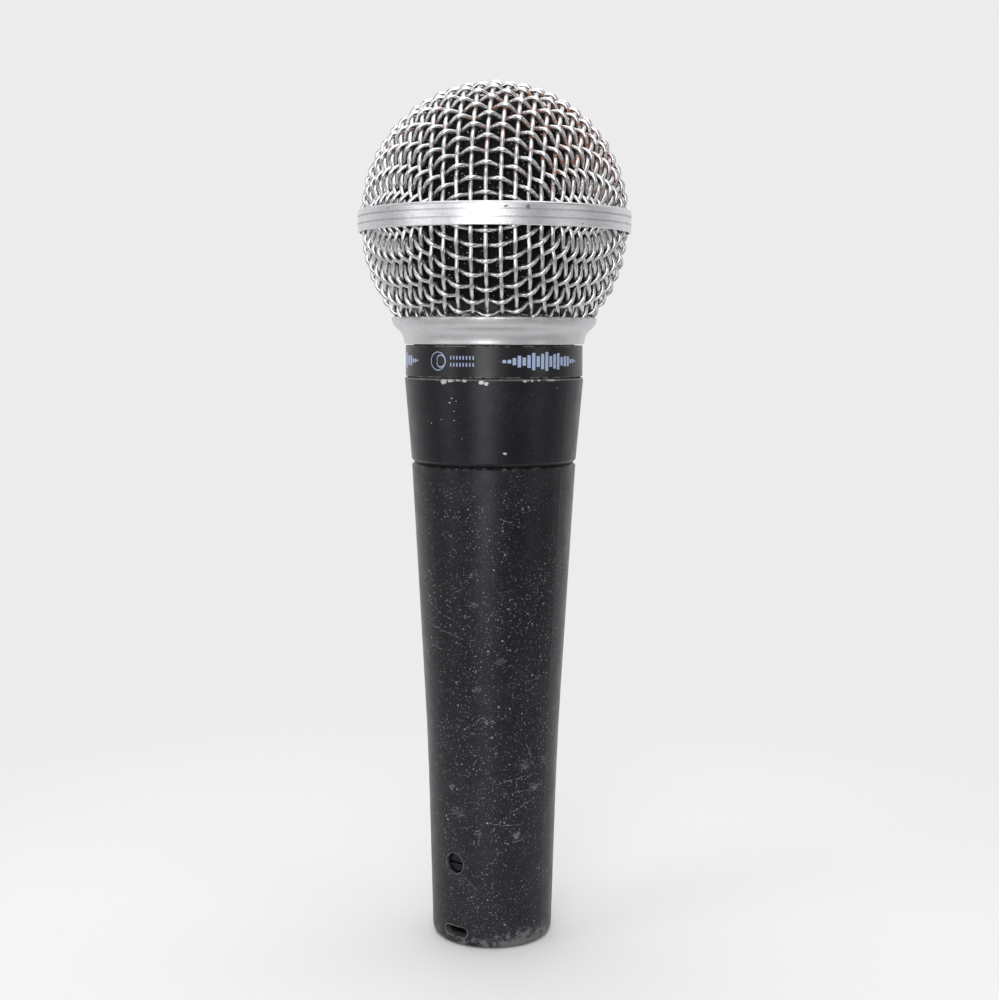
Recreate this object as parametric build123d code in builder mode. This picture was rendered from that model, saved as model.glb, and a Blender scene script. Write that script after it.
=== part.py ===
from build123d import *
import os
from math import sqrt

# Handheld dynamic vocal microphone, standing on its connector end.
# Millimetres. Z runs along the axis from the connector mouth (z = 0) to the top of the grille.
# The connector's latch slot and lock screw face -Y.

os.makedirs("parts", exist_ok=True)

# Clearances
RUNNING_GAP = 0.10      # radial, between sliding cylinders
SEAT_GAP = 0.05         # between pieces that rest on each other

# Right-hand threads, the same section on all four
THREAD_PITCH = 1.0
THREAD_DEPTH = 0.45
THREAD_GAP = 0.15       # between a crest and the root that faces it
THREAD_ROOT_HALF = 0.42
THREAD_CREST_HALF = 0.10
THREAD_BURIED = 0.15    # how far a ridge reaches into its root cylinder

# Handle: two tapers that meet in a soft elbow
TAIL_R = 11.58
TAIL_EDGE_Z = 3.4       # height where the rounded tail meets the taper
TAIL_FLAT_R = 10.2
ELBOW_R = 12.50
ELBOW_Z = 37.7
ELBOW_BLEND = 10.5      # length of each taper taken up by the elbow's arc
HANDLE_TOP_R = 15.48
HANDLE_TOP_Z = 91.2
HANDLE_RIM_R = 15.0     # inner edge of the chamfer at the parting groove
HANDLE_RIM_Z = 91.6
HANDLE_WALL = 2.3

# Connector socket in the tail
MOUTH_R = 8.3
MOUTH_DEPTH = 2.6
SOCKET_R = 8.15
SOCKET_DEPTH = 12.8
LEDGE_Z = 20.2
LEDGE_THICK = 2.0
LEDGE_HOLE_R = 6.4
LATCH_SLOT = (5.3, 1.9)
LATCH_SLOT_Z = 2.8
LOCK_HOLE_R = 2.0
LOCK_Z = 16.1
LOCK_SCREW_R = 1.5
LOCK_SCREW_TIP = 4.8    # distance of the screw's inner end from the axis
LOCK_SCREW_END = 9.75
LOCK_HEAD_R = 1.8
LOCK_HEAD_END = 11.05
PIN_R = 1.2
PIN_CIRCLE_R = 4.0
PIN_TIP_Z = 3.0
PIN_SHOULDER_R = 1.45
PIN_SHOULDER_Z = (12.7, 20.15)
CUP_R = 1.15
CUP_TOP_Z = 23.6

# Screw joint between handle and head
HANDLE_BORE_R = 13.55
HANDLE_BORE_Z = 81.6
HANDLE_THREAD_Z = 84.7
HANDLE_THREAD_TURNS = 5.9
NOSE_R = HANDLE_BORE_R - THREAD_GAP - THREAD_DEPTH
NOSE_THREAD_Z = HANDLE_THREAD_Z - THREAD_PITCH / 2
NOSE_THREAD_TURNS = 6.4
NOSE_BORE_R = 11.9
NOSE_Z = 83.2

# Head barrel
BARREL_Z = HANDLE_RIM_Z + SEAT_GAP
BARREL_CHAMFER_Z = 92.4
BARREL_LOW_R = 15.56
BARREL_TOP_R = 16.82
BARREL_TOP_Z = 107.6
BARREL_BORE_R = 14.2
BARREL_FLOOR_Z = 94.3
LABEL_SEAT_R = 15.85
LABEL_R = 16.66
LABEL_Z = (107.85, 113.6)
NECK_R = 15.15
NECK_TOP_Z = 118.6
NECK_THREAD_Z = 114.2
NECK_THREAD_TURNS = 3.9

# Grille
GRILLE_TOP_Z = 162.0
DOME_R = 25.1
DOME_CENTRE_Z = GRILLE_TOP_Z - DOME_R
BOWL_R = 24.8
BOWL_CENTRE_Z = 135.05
BOWL_LOW_Z = 118.0
MESH_THICK = 0.4
MESH_SPLIT_Z = 136.4
MESH_SPLIT_GAP = 0.2
BAND_R = 25.5
BAND_INNER_R = 25.12
BAND_Z = (134.35, 138.45)
BAND_GROOVE = (0.3, 0.13)  # width and depth
COLLAR_Z = 113.85
COLLAR_TOP_Z = 118.8
COLLAR_LOW_R = 16.95
COLLAR_MID_R = 18.23     # where the cove turns over into the lip
COLLAR_MID_Z = 116.65
COLLAR_TOP_R = 19.25
COLLAR_BORE_R = NECK_R + THREAD_DEPTH + THREAD_GAP
COLLAR_THREAD_Z = NECK_THREAD_Z + THREAD_PITCH / 2
COLLAR_THREAD_TURNS = 3.4
FOAM_R = 23.0
FOAM_THICK = 3.0
FOAM_LOW_Z = 122.0

# Cartridge
CHAMBER_R = 11.0
CHAMBER_WALL = 0.8
CHAMBER_Z = (97.6, 119.4)
HOUSING_R = 13.5
HOUSING_WALL = 1.0
HOUSING_Z = (119.5, 132.2)
HOUSING_FLOOR = 1.4
WINDOW_COUNT = 12
CAP_R = 14.0
CAP_Z = (129.5, 136.2)
CAP_PLATE = 1.3
YOKE_R = 11.6
YOKE_WALL = 1.5
YOKE_FLOOR = 1.8
PLATE_Z = (129.0, 130.6)
PLATE_HOLE_R = 9.0
POLE_R = 7.9
MAGNET_R = 7.0
MAGNET_TOP_Z = 127.4
COIL_R = (8.3, 8.6)
COIL_Z = (127.2, 131.35)
DIAPHRAGM_Z = 131.4
DIAPHRAGM_R = 12.2
DIAPHRAGM_THICK = 0.15
DOME_RISE = 1.5
LUG_X = 4.5

# Transformer
CORE = (14.0, 10.0, 16.0)
CORE_Z = 44.0
LEG = 4.4               # width of the core's centre leg
YOKE_BAR = 2.3          # width of the core's outer legs and bars
LEAD_R = 0.5


def taper_r(z):
    """Outer radius of the handle's upper taper, above the elbow."""
    slope = (HANDLE_TOP_R - ELBOW_R) / (HANDLE_TOP_Z - ELBOW_Z)
    return HANDLE_TOP_R - slope * (HANDLE_TOP_Z - z)


def ring(r_in, r_out, z_low, z_high):
    """A plain tube, or a disc where r_in is 0."""
    with BuildPart() as piece:
        with BuildSketch(Plane.XY.offset(z_low)):
            Circle(r_out)
            if r_in > 0:
                Circle(r_in, mode=Mode.SUBTRACT)
        extrude(amount=z_high - z_low)
    return piece


def sphere_shell(radius, thick, centre_z, z_low, z_high):
    """A ball's wall between two heights."""
    with BuildPart() as piece:
        with BuildSketch(Plane.XZ):
            with Locations((0, centre_z)):
                Circle(radius)
                Circle(radius - thick, mode=Mode.SUBTRACT)
            with Locations((radius / 2, (z_low + z_high) / 2)):
                Rectangle(radius, z_high - z_low, mode=Mode.INTERSECT)
        revolve(axis=Axis.Z)
    return piece


def wire_along(points, bend_r):
    """A round lead that follows straight runs joined by tangent arcs."""
    with BuildPart() as piece:
        with BuildLine() as path:
            FilletPolyline(*points, radius=bend_r)
        with BuildSketch(Plane(origin=path.line @ 0, z_dir=path.line % 0)):
            Circle(LEAD_R)
        sweep(path=path.line)
    return piece


def thread_ridge(root_r, z_start, turns, outward):
    """One helical thread; its crest points away from the axis where outward is true."""
    with BuildPart() as piece:
        with BuildLine() as path:
            Helix(THREAD_PITCH, THREAD_PITCH * turns, root_r, center=(0, 0, z_start))
        side = (1, 0, 0) if outward else (-1, 0, 0)
        with BuildSketch(Plane(origin=path.line @ 0, x_dir=side, z_dir=path.line % 0)):
            with BuildLine():
                Polyline(
                    (-THREAD_BURIED, -THREAD_ROOT_HALF),
                    (THREAD_DEPTH, -THREAD_CREST_HALF),
                    (THREAD_DEPTH, THREAD_CREST_HALF),
                    (-THREAD_BURIED, THREAD_ROOT_HALF),
                    close=True,
                )
            make_face()
        sweep(path=path.line, is_frenet=True)
    return piece


# ---------------------------------------------------------------- handle

handle_thread = thread_ridge(HANDLE_BORE_R, HANDLE_THREAD_Z, HANDLE_THREAD_TURNS, outward=False)

with BuildPart() as handle_shell:
    elbow = Vector(ELBOW_R, ELBOW_Z)
    low_run = (Vector(TAIL_R, TAIL_EDGE_Z) - elbow).normalized()
    high_run = (Vector(HANDLE_TOP_R, HANDLE_TOP_Z) - elbow).normalized()
    with BuildSketch(Plane.XZ):
        with BuildLine():
            Line((MOUTH_R + 0.35, 0), (TAIL_FLAT_R, 0))
            Spline((TAIL_FLAT_R, 0), (TAIL_R, TAIL_EDGE_Z), tangents=((1, 0), (0.03, 1)))
            Line((TAIL_R, TAIL_EDGE_Z), elbow + low_run * ELBOW_BLEND)
            TangentArc(
                elbow + low_run * ELBOW_BLEND, elbow + high_run * ELBOW_BLEND, tangent=-low_run
            )
            Polyline(
                elbow + high_run * ELBOW_BLEND,
                (HANDLE_TOP_R, HANDLE_TOP_Z),
                (HANDLE_RIM_R, HANDLE_RIM_Z),
                (HANDLE_BORE_R + 0.5, HANDLE_RIM_Z),
                (HANDLE_BORE_R, HANDLE_RIM_Z - 0.5),
                (HANDLE_BORE_R, HANDLE_BORE_Z),
                (taper_r(HANDLE_BORE_Z) - HANDLE_WALL, HANDLE_BORE_Z - 1.0),
                (ELBOW_R - HANDLE_WALL, ELBOW_Z),
                (ELBOW_R - HANDLE_WALL - 0.4, LEDGE_Z + LEDGE_THICK),
                (LEDGE_HOLE_R, LEDGE_Z + LEDGE_THICK),
                (LEDGE_HOLE_R, LEDGE_Z),
                (SOCKET_R, LEDGE_Z),
                (SOCKET_R, MOUTH_DEPTH + 0.15),
                (MOUTH_R, MOUTH_DEPTH),
                (MOUTH_R, 0.35),
                (MOUTH_R + 0.35, 0),
            )
        make_face()
    revolve(axis=Axis.Z)
    with BuildSketch(Plane.XZ.offset(SOCKET_R - 1)):
        with Locations((0, LATCH_SLOT_Z)):
            SlotOverall(*LATCH_SLOT)
        with Locations((0, LOCK_Z)):
            Circle(LOCK_HOLE_R)
    extrude(amount=TAIL_R, mode=Mode.SUBTRACT)
    add(handle_thread.part)
handle_shell.part.label = "handle_shell"
export_step(handle_shell.part, "parts/handle_shell.step")

# Connector insert: pins 1 and 2 lie on X, pin 3 lies opposite the latch
PIN_PLACES = [(-PIN_CIRCLE_R, 0), (PIN_CIRCLE_R, 0), (0, PIN_CIRCLE_R)]

with BuildPart() as xlr_insulator:
    insert_r = SOCKET_R - RUNNING_GAP
    with BuildSketch(Plane.XY.offset(SOCKET_DEPTH)):
        Circle(insert_r)
        with Locations(*PIN_PLACES):
            Circle(PIN_SHOULDER_R + 0.02, mode=Mode.SUBTRACT)
    extrude(amount=LEDGE_Z - SEAT_GAP - SOCKET_DEPTH)
    with BuildSketch(Plane.XZ.offset(LOCK_SCREW_TIP - 0.3)):
        with Locations((0, LOCK_Z)):
            Circle(LOCK_SCREW_R + SEAT_GAP)
    extrude(amount=SOCKET_R, mode=Mode.SUBTRACT)
    with Locations((-insert_r, 0, LOCK_Z)):
        Box(2.2, 3.4, 6.0, mode=Mode.SUBTRACT)
xlr_insulator.part.label = "xlr_insulator"
export_step(xlr_insulator.part, "parts/xlr_insulator.step")

with BuildPart() as contact_pins:
    pin_stretches = (
        (PIN_R, PIN_TIP_Z, PIN_SHOULDER_Z[0]),
        (PIN_SHOULDER_R, *PIN_SHOULDER_Z),
        (CUP_R, PIN_SHOULDER_Z[1], CUP_TOP_Z),
    )
    for stretch_r, low_z, high_z in pin_stretches:
        with BuildSketch(Plane.XY.offset(low_z)):
            with Locations(*PIN_PLACES):
                Circle(stretch_r)
        extrude(amount=high_z - low_z)
    chamfer(contact_pins.edges().group_by(Axis.Z)[0], 0.45)
    with BuildSketch(Plane.XY.offset(CUP_TOP_Z)):
        with Locations(*PIN_PLACES):
            Circle(CUP_R - 0.3)
    extrude(amount=-2.4, mode=Mode.SUBTRACT)
contact_pins.part.label = "contact_pins"
export_step(contact_pins.part, "parts/contact_pins.step")

with BuildPart() as ground_spring:
    spring_thick = 0.25
    spring_root_x = -7.25
    spring_crest_x = -7.95
    with BuildSketch(Plane.XZ):
        with BuildLine():
            ThreePointArc(
                (spring_root_x, LOCK_Z - 2.6), (spring_crest_x, LOCK_Z), (spring_root_x, LOCK_Z + 2.6)
            )
            Line((spring_root_x, LOCK_Z + 2.6), (spring_root_x + spring_thick, LOCK_Z + 2.6))
            ThreePointArc(
                (spring_root_x + spring_thick, LOCK_Z + 2.6),
                (spring_crest_x + spring_thick, LOCK_Z),
                (spring_root_x + spring_thick, LOCK_Z - 2.6),
            )
            Line((spring_root_x + spring_thick, LOCK_Z - 2.6), (spring_root_x, LOCK_Z - 2.6))
        make_face()
    extrude(amount=1.2, both=True)
ground_spring.part.label = "ground_spring"
export_step(ground_spring.part, "parts/ground_spring.step")

with BuildPart() as lock_screw:
    with BuildSketch(Plane.XZ.offset(LOCK_SCREW_TIP)):
        with Locations((0, LOCK_Z)):
            Circle(LOCK_SCREW_R)
    extrude(amount=LOCK_SCREW_END - LOCK_SCREW_TIP)
    with BuildSketch(Plane.XZ.offset(LOCK_SCREW_END)):
        with Locations((0, LOCK_Z)):
            Circle(LOCK_HEAD_R)
    extrude(amount=LOCK_HEAD_END - LOCK_SCREW_END)
    ends = lock_screw.edges().filter_by(GeomType.CIRCLE).sort_by(Axis.Y)
    chamfer((ends[0], ends[-1]), 0.2)
    with Locations((0, -LOCK_HEAD_END, LOCK_Z)):
        Box(2 * LOCK_HEAD_R, 1.2, 0.5, mode=Mode.SUBTRACT)
lock_screw.part.label = "lock_screw"
export_step(lock_screw.part, "parts/lock_screw.step")

# ---------------------------------------------------------------- output transformer

core_mid_z = CORE_Z + CORE[2] / 2
window_w = (CORE[0] - LEG) / 2 - YOKE_BAR
window_h = CORE[2] - 2 * YOKE_BAR
window_x = LEG / 2 + window_w / 2

with BuildPart() as transformer_core:
    with Locations((0, 0, core_mid_z)):
        Box(*CORE)
        with Locations((window_x, 0, 0), (-window_x, 0, 0)):
            Box(window_w, CORE[1], window_h, mode=Mode.SUBTRACT)
transformer_core.part.label = "transformer_core"
export_step(transformer_core.part, "parts/transformer_core.step")

BOBBIN_GAP = 0.1        # between the core and the bobbin's tube
BOBBIN_WALL = 0.5
leg_w = LEG + 2 * BOBBIN_GAP
leg_d = CORE[1] + 2 * BOBBIN_GAP
flange_w = LEG + 2 * window_w - 2 * BOBBIN_GAP
flange_d = CORE[1] + 5.2

with BuildPart() as transformer_bobbin:
    with Locations((0, 0, core_mid_z)):
        Box(leg_w + 2 * BOBBIN_WALL, leg_d + 2 * BOBBIN_WALL, window_h - 0.2)
    for side in (-1, 1):
        with Locations((0, 0, core_mid_z + side * (window_h / 2 - 0.1 - BOBBIN_WALL / 2))):
            Box(flange_w, flange_d, BOBBIN_WALL)
    with Locations((0, 0, core_mid_z)):
        Box(leg_w, leg_d, window_h, mode=Mode.SUBTRACT)
transformer_bobbin.part.label = "transformer_bobbin"
export_step(transformer_bobbin.part, "parts/transformer_bobbin.step")

with BuildPart() as transformer_winding:
    winding_h = window_h - 2 * BOBBIN_WALL - 0.4
    with BuildSketch(Plane.XY.offset(core_mid_z - winding_h / 2)):
        RectangleRounded(flange_w - 0.4, flange_d - 0.8, 0.7)
        Rectangle(leg_w + 2 * BOBBIN_WALL + 0.1, leg_d + 2 * BOBBIN_WALL + 0.1, mode=Mode.SUBTRACT)
    extrude(amount=winding_h)
transformer_winding.part.label = "transformer_winding"
export_step(transformer_winding.part, "parts/transformer_winding.step")

POTTING_Z = (39.6, CORE_Z - SEAT_GAP)
transformer_potting = ring(0, ELBOW_R - HANDLE_WALL - 0.05, *POTTING_Z)
transformer_potting.part.label = "transformer_potting"
export_step(transformer_potting.part, "parts/transformer_potting.step")

# Leads from the potting down to the solder cups of pins 2 and 3
lead_start_z = CUP_TOP_Z + SEAT_GAP
lead_end_z = POTTING_Z[0] - SEAT_GAP

output_lead_red = wire_along(
    [
        (PIN_CIRCLE_R, 0, lead_start_z),
        (PIN_CIRCLE_R, 0, 27.5),
        (5.5, 2.5, 32.0),
        (3.0, 1.0, 36.5),
        (3.0, 1.0, lead_end_z),
    ],
    1.6,
)
output_lead_red.part.label = "output_lead_red"
export_step(output_lead_red.part, "parts/output_lead_red.step")

output_lead_black = wire_along(
    [
        (0, PIN_CIRCLE_R, lead_start_z),
        (0, PIN_CIRCLE_R, 27.0),
        (-3.0, 5.5, 31.0),
        (-3.0, 2.0, 36.0),
        (-3.0, 2.0, lead_end_z),
    ],
    1.6,
)
output_lead_black.part.label = "output_lead_black"
export_step(output_lead_black.part, "parts/output_lead_black.step")

# ---------------------------------------------------------------- head

nose_thread = thread_ridge(NOSE_R, NOSE_THREAD_Z, NOSE_THREAD_TURNS, outward=True)
neck_thread = thread_ridge(NECK_R, NECK_THREAD_Z, NECK_THREAD_TURNS, outward=True)

with BuildPart() as head_barrel:
    with BuildSketch(Plane.XZ):
        with BuildLine():
            Polyline(
                (NOSE_BORE_R, NOSE_Z),
                (NOSE_R - 0.6, NOSE_Z),
                (NOSE_R, NOSE_Z + 0.6),
                (NOSE_R, BARREL_Z),
                (HANDLE_RIM_R, BARREL_Z),
                (BARREL_LOW_R, BARREL_CHAMFER_Z),
                (BARREL_TOP_R, BARREL_TOP_Z - 0.2),
                (BARREL_TOP_R - 0.2, BARREL_TOP_Z),
                (LABEL_SEAT_R, LABEL_Z[0] - SEAT_GAP),
                (LABEL_SEAT_R, LABEL_Z[1]),
                (NECK_R, LABEL_Z[1]),
                (NECK_R, NECK_TOP_Z - 0.4),
                (NECK_R - 0.4, NECK_TOP_Z),
                (BARREL_BORE_R, NECK_TOP_Z),
                (BARREL_BORE_R, BARREL_FLOOR_Z),
                (NOSE_BORE_R, BARREL_FLOOR_Z),
                close=True,
            )
        make_face()
    revolve(axis=Axis.Z)
    add(nose_thread.part)
    add(neck_thread.part)
head_barrel.part.label = "head_barrel"
export_step(head_barrel.part, "parts/head_barrel.step")

with BuildPart() as label_band:
    with BuildSketch(Plane.XY.offset(LABEL_Z[0])):
        Circle(LABEL_R)
        Circle(LABEL_SEAT_R + 0.02, mode=Mode.SUBTRACT)
    extrude(amount=LABEL_Z[1] - LABEL_Z[0])
    outer_rims = label_band.edges().filter_by(GeomType.CIRCLE).group_by(SortBy.RADIUS)[-1]
    chamfer(outer_rims, 0.12)
label_band.part.label = "label_band"
export_step(label_band.part, "parts/label_band.step")

MOUNT_Z = (112.4, 118.3)

with BuildPart() as upper_shock_mount:
    mount_bore_r = CHAMBER_R + 0.3
    mount_outer_r = BARREL_BORE_R - 0.03
    with BuildSketch(Plane.XY.offset(MOUNT_Z[0])):
        Circle(mount_outer_r)
        Circle(mount_bore_r, mode=Mode.SUBTRACT)
    extrude(amount=MOUNT_Z[1] - MOUNT_Z[0])
    for groove_z in MOUNT_Z:
        with BuildSketch(Plane.XY.offset(groove_z)):
            Circle(mount_outer_r - 0.9)
            Circle(mount_bore_r + 0.8, mode=Mode.SUBTRACT)
        extrude(amount=2.4, both=True, mode=Mode.SUBTRACT)
upper_shock_mount.part.label = "upper_shock_mount"
export_step(upper_shock_mount.part, "parts/upper_shock_mount.step")

BOOT_Z = (94.4, 100.5)
BOOT_LIP_R = 8.5

with BuildPart() as lower_shock_boot:
    with BuildSketch(Plane.XZ):
        with BuildLine():
            Polyline(
                (BOOT_LIP_R, BOOT_Z[0]),
                (BARREL_BORE_R - 0.15, BOOT_Z[0]),
                (BARREL_BORE_R - 0.15, BOOT_Z[0] + 1.2),
                (CHAMBER_R + 1.6, BOOT_Z[0] + 2.2),
                (CHAMBER_R + 1.6, BOOT_Z[1]),
                (CHAMBER_R + 0.3, BOOT_Z[1]),
                (CHAMBER_R + 0.3, BOOT_Z[0] + 0.8),
                (BOOT_LIP_R, BOOT_Z[0] + 0.8),
                close=True,
            )
        make_face()
    revolve(axis=Axis.Z)
lower_shock_boot.part.label = "lower_shock_boot"
export_step(lower_shock_boot.part, "parts/lower_shock_boot.step")

# ---------------------------------------------------------------- cartridge

acoustic_chamber = ring(CHAMBER_R - CHAMBER_WALL, CHAMBER_R, *CHAMBER_Z)
acoustic_chamber.part.label = "acoustic_chamber"
export_step(acoustic_chamber.part, "parts/acoustic_chamber.step")

damping_felt = ring(0, CHAMBER_R - CHAMBER_WALL - 0.05, CHAMBER_Z[1] - 3.0, CHAMBER_Z[1] - 0.4)
damping_felt.part.label = "damping_felt"
export_step(damping_felt.part, "parts/damping_felt.step")

BOARD_Z = (96.3, CHAMBER_Z[0] - SEAT_GAP)

with BuildPart() as terminal_board:
    with BuildSketch(Plane.XY.offset(BOARD_Z[0])):
        Circle(CHAMBER_R)
        with Locations((LUG_X, 0), (-LUG_X, 0)):
            Rectangle(1.7, 0.6, mode=Mode.SUBTRACT)
    extrude(amount=BOARD_Z[1] - BOARD_Z[0])
terminal_board.part.label = "terminal_board"
export_step(terminal_board.part, "parts/terminal_board.step")

with BuildPart() as solder_lugs:
    lug_h = 3.6
    lug_low_z = BOARD_Z[1] - lug_h
    with Locations((LUG_X, 0, BOARD_Z[1] - lug_h / 2), (-LUG_X, 0, BOARD_Z[1] - lug_h / 2)):
        Box(1.6, 0.5, lug_h)
    with BuildSketch(Plane.XZ.offset(-1)):
        with Locations((LUG_X, lug_low_z + 0.9), (-LUG_X, lug_low_z + 0.9)):
            Circle(0.4)
    extrude(amount=2, mode=Mode.SUBTRACT)
solder_lugs.part.label = "solder_lugs"
export_step(solder_lugs.part, "parts/solder_lugs.step")


def cartridge_lead(side):
    """A lead that hangs from a lug into the handle; side is 1 or -1."""
    return wire_along(
        [
            (side * LUG_X, 0, lug_low_z - SEAT_GAP),
            (side * LUG_X, 0, 90.0),
            (side * 2.2, side * 1.8, 84.0),
            (side * 3.6, -side * 1.0, 76.0),
            (side * 1.4, side * 1.2, 69.0),
            (side * 1.4, side * 1.2, 63.5),
        ],
        3.0,
    )


lead_yellow = cartridge_lead(1)
lead_yellow.part.label = "lead_yellow"
export_step(lead_yellow.part, "parts/lead_yellow.step")

lead_green = cartridge_lead(-1)
lead_green.part.label = "lead_green"
export_step(lead_green.part, "parts/lead_green.step")

with BuildPart() as cartridge_housing:
    with BuildSketch(Plane.XY.offset(HOUSING_Z[0])):
        Circle(HOUSING_R)
    extrude(amount=HOUSING_Z[1] - HOUSING_Z[0])
    with BuildSketch(Plane.XY.offset(HOUSING_Z[0] + HOUSING_FLOOR)):
        Circle(HOUSING_R - HOUSING_WALL)
    extrude(amount=HOUSING_Z[1], mode=Mode.SUBTRACT)
    with BuildSketch(Plane.XY.offset(HOUSING_Z[0])):
        Circle(CHAMBER_R - 2.0)
    extrude(amount=HOUSING_FLOOR, mode=Mode.SUBTRACT)
    with Locations((0, 0, HOUSING_Z[0] + 4.6)):
        with PolarLocations(HOUSING_R, WINDOW_COUNT):
            Box(4.0, 4.0, 4.2, mode=Mode.SUBTRACT)
cartridge_housing.part.label = "cartridge_housing"
export_step(cartridge_housing.part, "parts/cartridge_housing.step")

screen_r = HOUSING_R - HOUSING_WALL - 0.03
rear_port_screen = ring(screen_r - 0.3, screen_r, HOUSING_Z[0] + 1.6, HOUSING_Z[0] + 7.6)
rear_port_screen.part.label = "rear_port_screen"
export_step(rear_port_screen.part, "parts/rear_port_screen.step")

YOKE_Z = HOUSING_Z[0] + HOUSING_FLOOR

with BuildPart() as yoke_cup:
    with BuildSketch(Plane.XY.offset(YOKE_Z)):
        Circle(YOKE_R)
    extrude(amount=PLATE_Z[0] - YOKE_Z)
    with BuildSketch(Plane.XY.offset(YOKE_Z + YOKE_FLOOR)):
        Circle(YOKE_R - YOKE_WALL)
    extrude(amount=PLATE_Z[0], mode=Mode.SUBTRACT)
    with BuildSketch(Plane.XY.offset(YOKE_Z)):
        Circle(1.5)
        with PolarLocations(8.6, 6):
            Circle(0.8)
    extrude(amount=YOKE_FLOOR, mode=Mode.SUBTRACT)
yoke_cup.part.label = "yoke_cup"
export_step(yoke_cup.part, "parts/yoke_cup.step")

magnet = ring(1.5, MAGNET_R, YOKE_Z + YOKE_FLOOR, MAGNET_TOP_Z)
magnet.part.label = "magnet"
export_step(magnet.part, "parts/magnet.step")

with BuildPart() as pole_piece:
    with BuildSketch(Plane.XY.offset(MAGNET_TOP_Z)):
        Circle(POLE_R)
        Circle(1.5, mode=Mode.SUBTRACT)
    extrude(amount=PLATE_Z[1] - MAGNET_TOP_Z)
    pole_rim = pole_piece.edges().group_by(Axis.Z)[-1].sort_by(SortBy.RADIUS)[-1]
    chamfer(pole_rim, 0.3)
pole_piece.part.label = "pole_piece"
export_step(pole_piece.part, "parts/pole_piece.step")

top_plate = ring(PLATE_HOLE_R, YOKE_R, *PLATE_Z)
top_plate.part.label = "top_plate"
export_step(top_plate.part, "parts/top_plate.step")

diaphragm_seat = ring(YOKE_R + 0.15, HOUSING_R - HOUSING_WALL - 0.03, 129.4, 130.9)
diaphragm_seat.part.label = "diaphragm_seat"
export_step(diaphragm_seat.part, "parts/diaphragm_seat.step")

with BuildPart() as diaphragm:
    surround_rise = 0.7
    mid_r = (COIL_R[1] + DIAPHRAGM_R - 0.6) / 2
    with BuildSketch(Plane.XZ):
        with BuildLine():
            for lift, start_r in ((0, 0), (DIAPHRAGM_THICK, 0)):
                base_z = DIAPHRAGM_Z + lift
                ThreePointArc(
                    (start_r, base_z + DOME_RISE),
                    (COIL_R[1] / 2, base_z + DOME_RISE * 0.75),
                    (COIL_R[1], base_z),
                )
                ThreePointArc(
                    (COIL_R[1], base_z),
                    (mid_r, base_z + surround_rise),
                    (DIAPHRAGM_R - 0.6, base_z),
                )
                Line((DIAPHRAGM_R - 0.6, base_z), (DIAPHRAGM_R, base_z))
            Line((0, DIAPHRAGM_Z + DOME_RISE), (0, DIAPHRAGM_Z + DOME_RISE + DIAPHRAGM_THICK))
            Line((DIAPHRAGM_R, DIAPHRAGM_Z), (DIAPHRAGM_R, DIAPHRAGM_Z + DIAPHRAGM_THICK))
        make_face()
    revolve(axis=Axis.Z)
diaphragm.part.label = "diaphragm"
export_step(diaphragm.part, "parts/diaphragm.step")

voice_coil = ring(*COIL_R, *COIL_Z)
voice_coil.part.label = "voice_coil"
export_step(voice_coil.part, "parts/voice_coil.step")

with BuildPart() as resonator_cap:
    with BuildSketch(Plane.XY.offset(CAP_Z[0])):
        Circle(CAP_R)
    extrude(amount=CAP_Z[1] - CAP_Z[0])
    fillet(resonator_cap.edges().group_by(Axis.Z)[-1], 0.9)
    with BuildSketch(Plane.XY.offset(CAP_Z[0])):
        Circle(HOUSING_R + 0.05)
    extrude(amount=CAP_Z[1] - CAP_Z[0] - CAP_PLATE, mode=Mode.SUBTRACT)
    with BuildSketch(Plane.XY.offset(CAP_Z[1] - CAP_PLATE)):
        Circle(1.5)
        with PolarLocations(5.4, 6):
            Circle(1.3)
        with PolarLocations(10.2, 12):
            Circle(1.1)
    extrude(amount=CAP_PLATE, mode=Mode.SUBTRACT)
resonator_cap.part.label = "resonator_cap"
export_step(resonator_cap.part, "parts/resonator_cap.step")

front_screen = ring(0, 13.2, CAP_Z[1] - CAP_PLATE - 0.3, CAP_Z[1] - CAP_PLATE - 0.03)
front_screen.part.label = "front_screen"
export_step(front_screen.part, "parts/front_screen.step")

# ---------------------------------------------------------------- grille

grille_dome = sphere_shell(
    DOME_R, MESH_THICK, DOME_CENTRE_Z, MESH_SPLIT_Z + MESH_SPLIT_GAP / 2, GRILLE_TOP_Z
)
grille_dome.part.label = "grille_dome"
export_step(grille_dome.part, "parts/grille_dome.step")

grille_bowl = sphere_shell(
    BOWL_R, MESH_THICK, BOWL_CENTRE_Z, BOWL_LOW_Z, MESH_SPLIT_Z - MESH_SPLIT_GAP / 2
)
grille_bowl.part.label = "grille_bowl"
export_step(grille_bowl.part, "parts/grille_bowl.step")

with BuildPart() as grille_band:
    band_h = BAND_Z[1] - BAND_Z[0]
    with BuildSketch(Plane.XZ):
        with BuildLine():
            Polyline(
                (BAND_INNER_R, BAND_Z[0]),
                (BAND_R - 0.15, BAND_Z[0]),
                (BAND_R, BAND_Z[0] + 0.15),
                (BAND_R, BAND_Z[1] - 0.5),
                (BAND_R - 0.1, BAND_Z[1] - 0.18),
                (BAND_R - 0.28, BAND_Z[1]),
                (BAND_INNER_R, BAND_Z[1]),
                close=True,
            )
        make_face()
        for third in (1, 2):
            with Locations((BAND_R, BAND_Z[0] + third * band_h / 3)):
                Rectangle(2 * BAND_GROOVE[1], BAND_GROOVE[0], mode=Mode.SUBTRACT)
    revolve(axis=Axis.Z)
grille_band.part.label = "grille_band"
export_step(grille_band.part, "parts/grille_band.step")

collar_thread = thread_ridge(COLLAR_BORE_R, COLLAR_THREAD_Z, COLLAR_THREAD_TURNS, outward=False)

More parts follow.
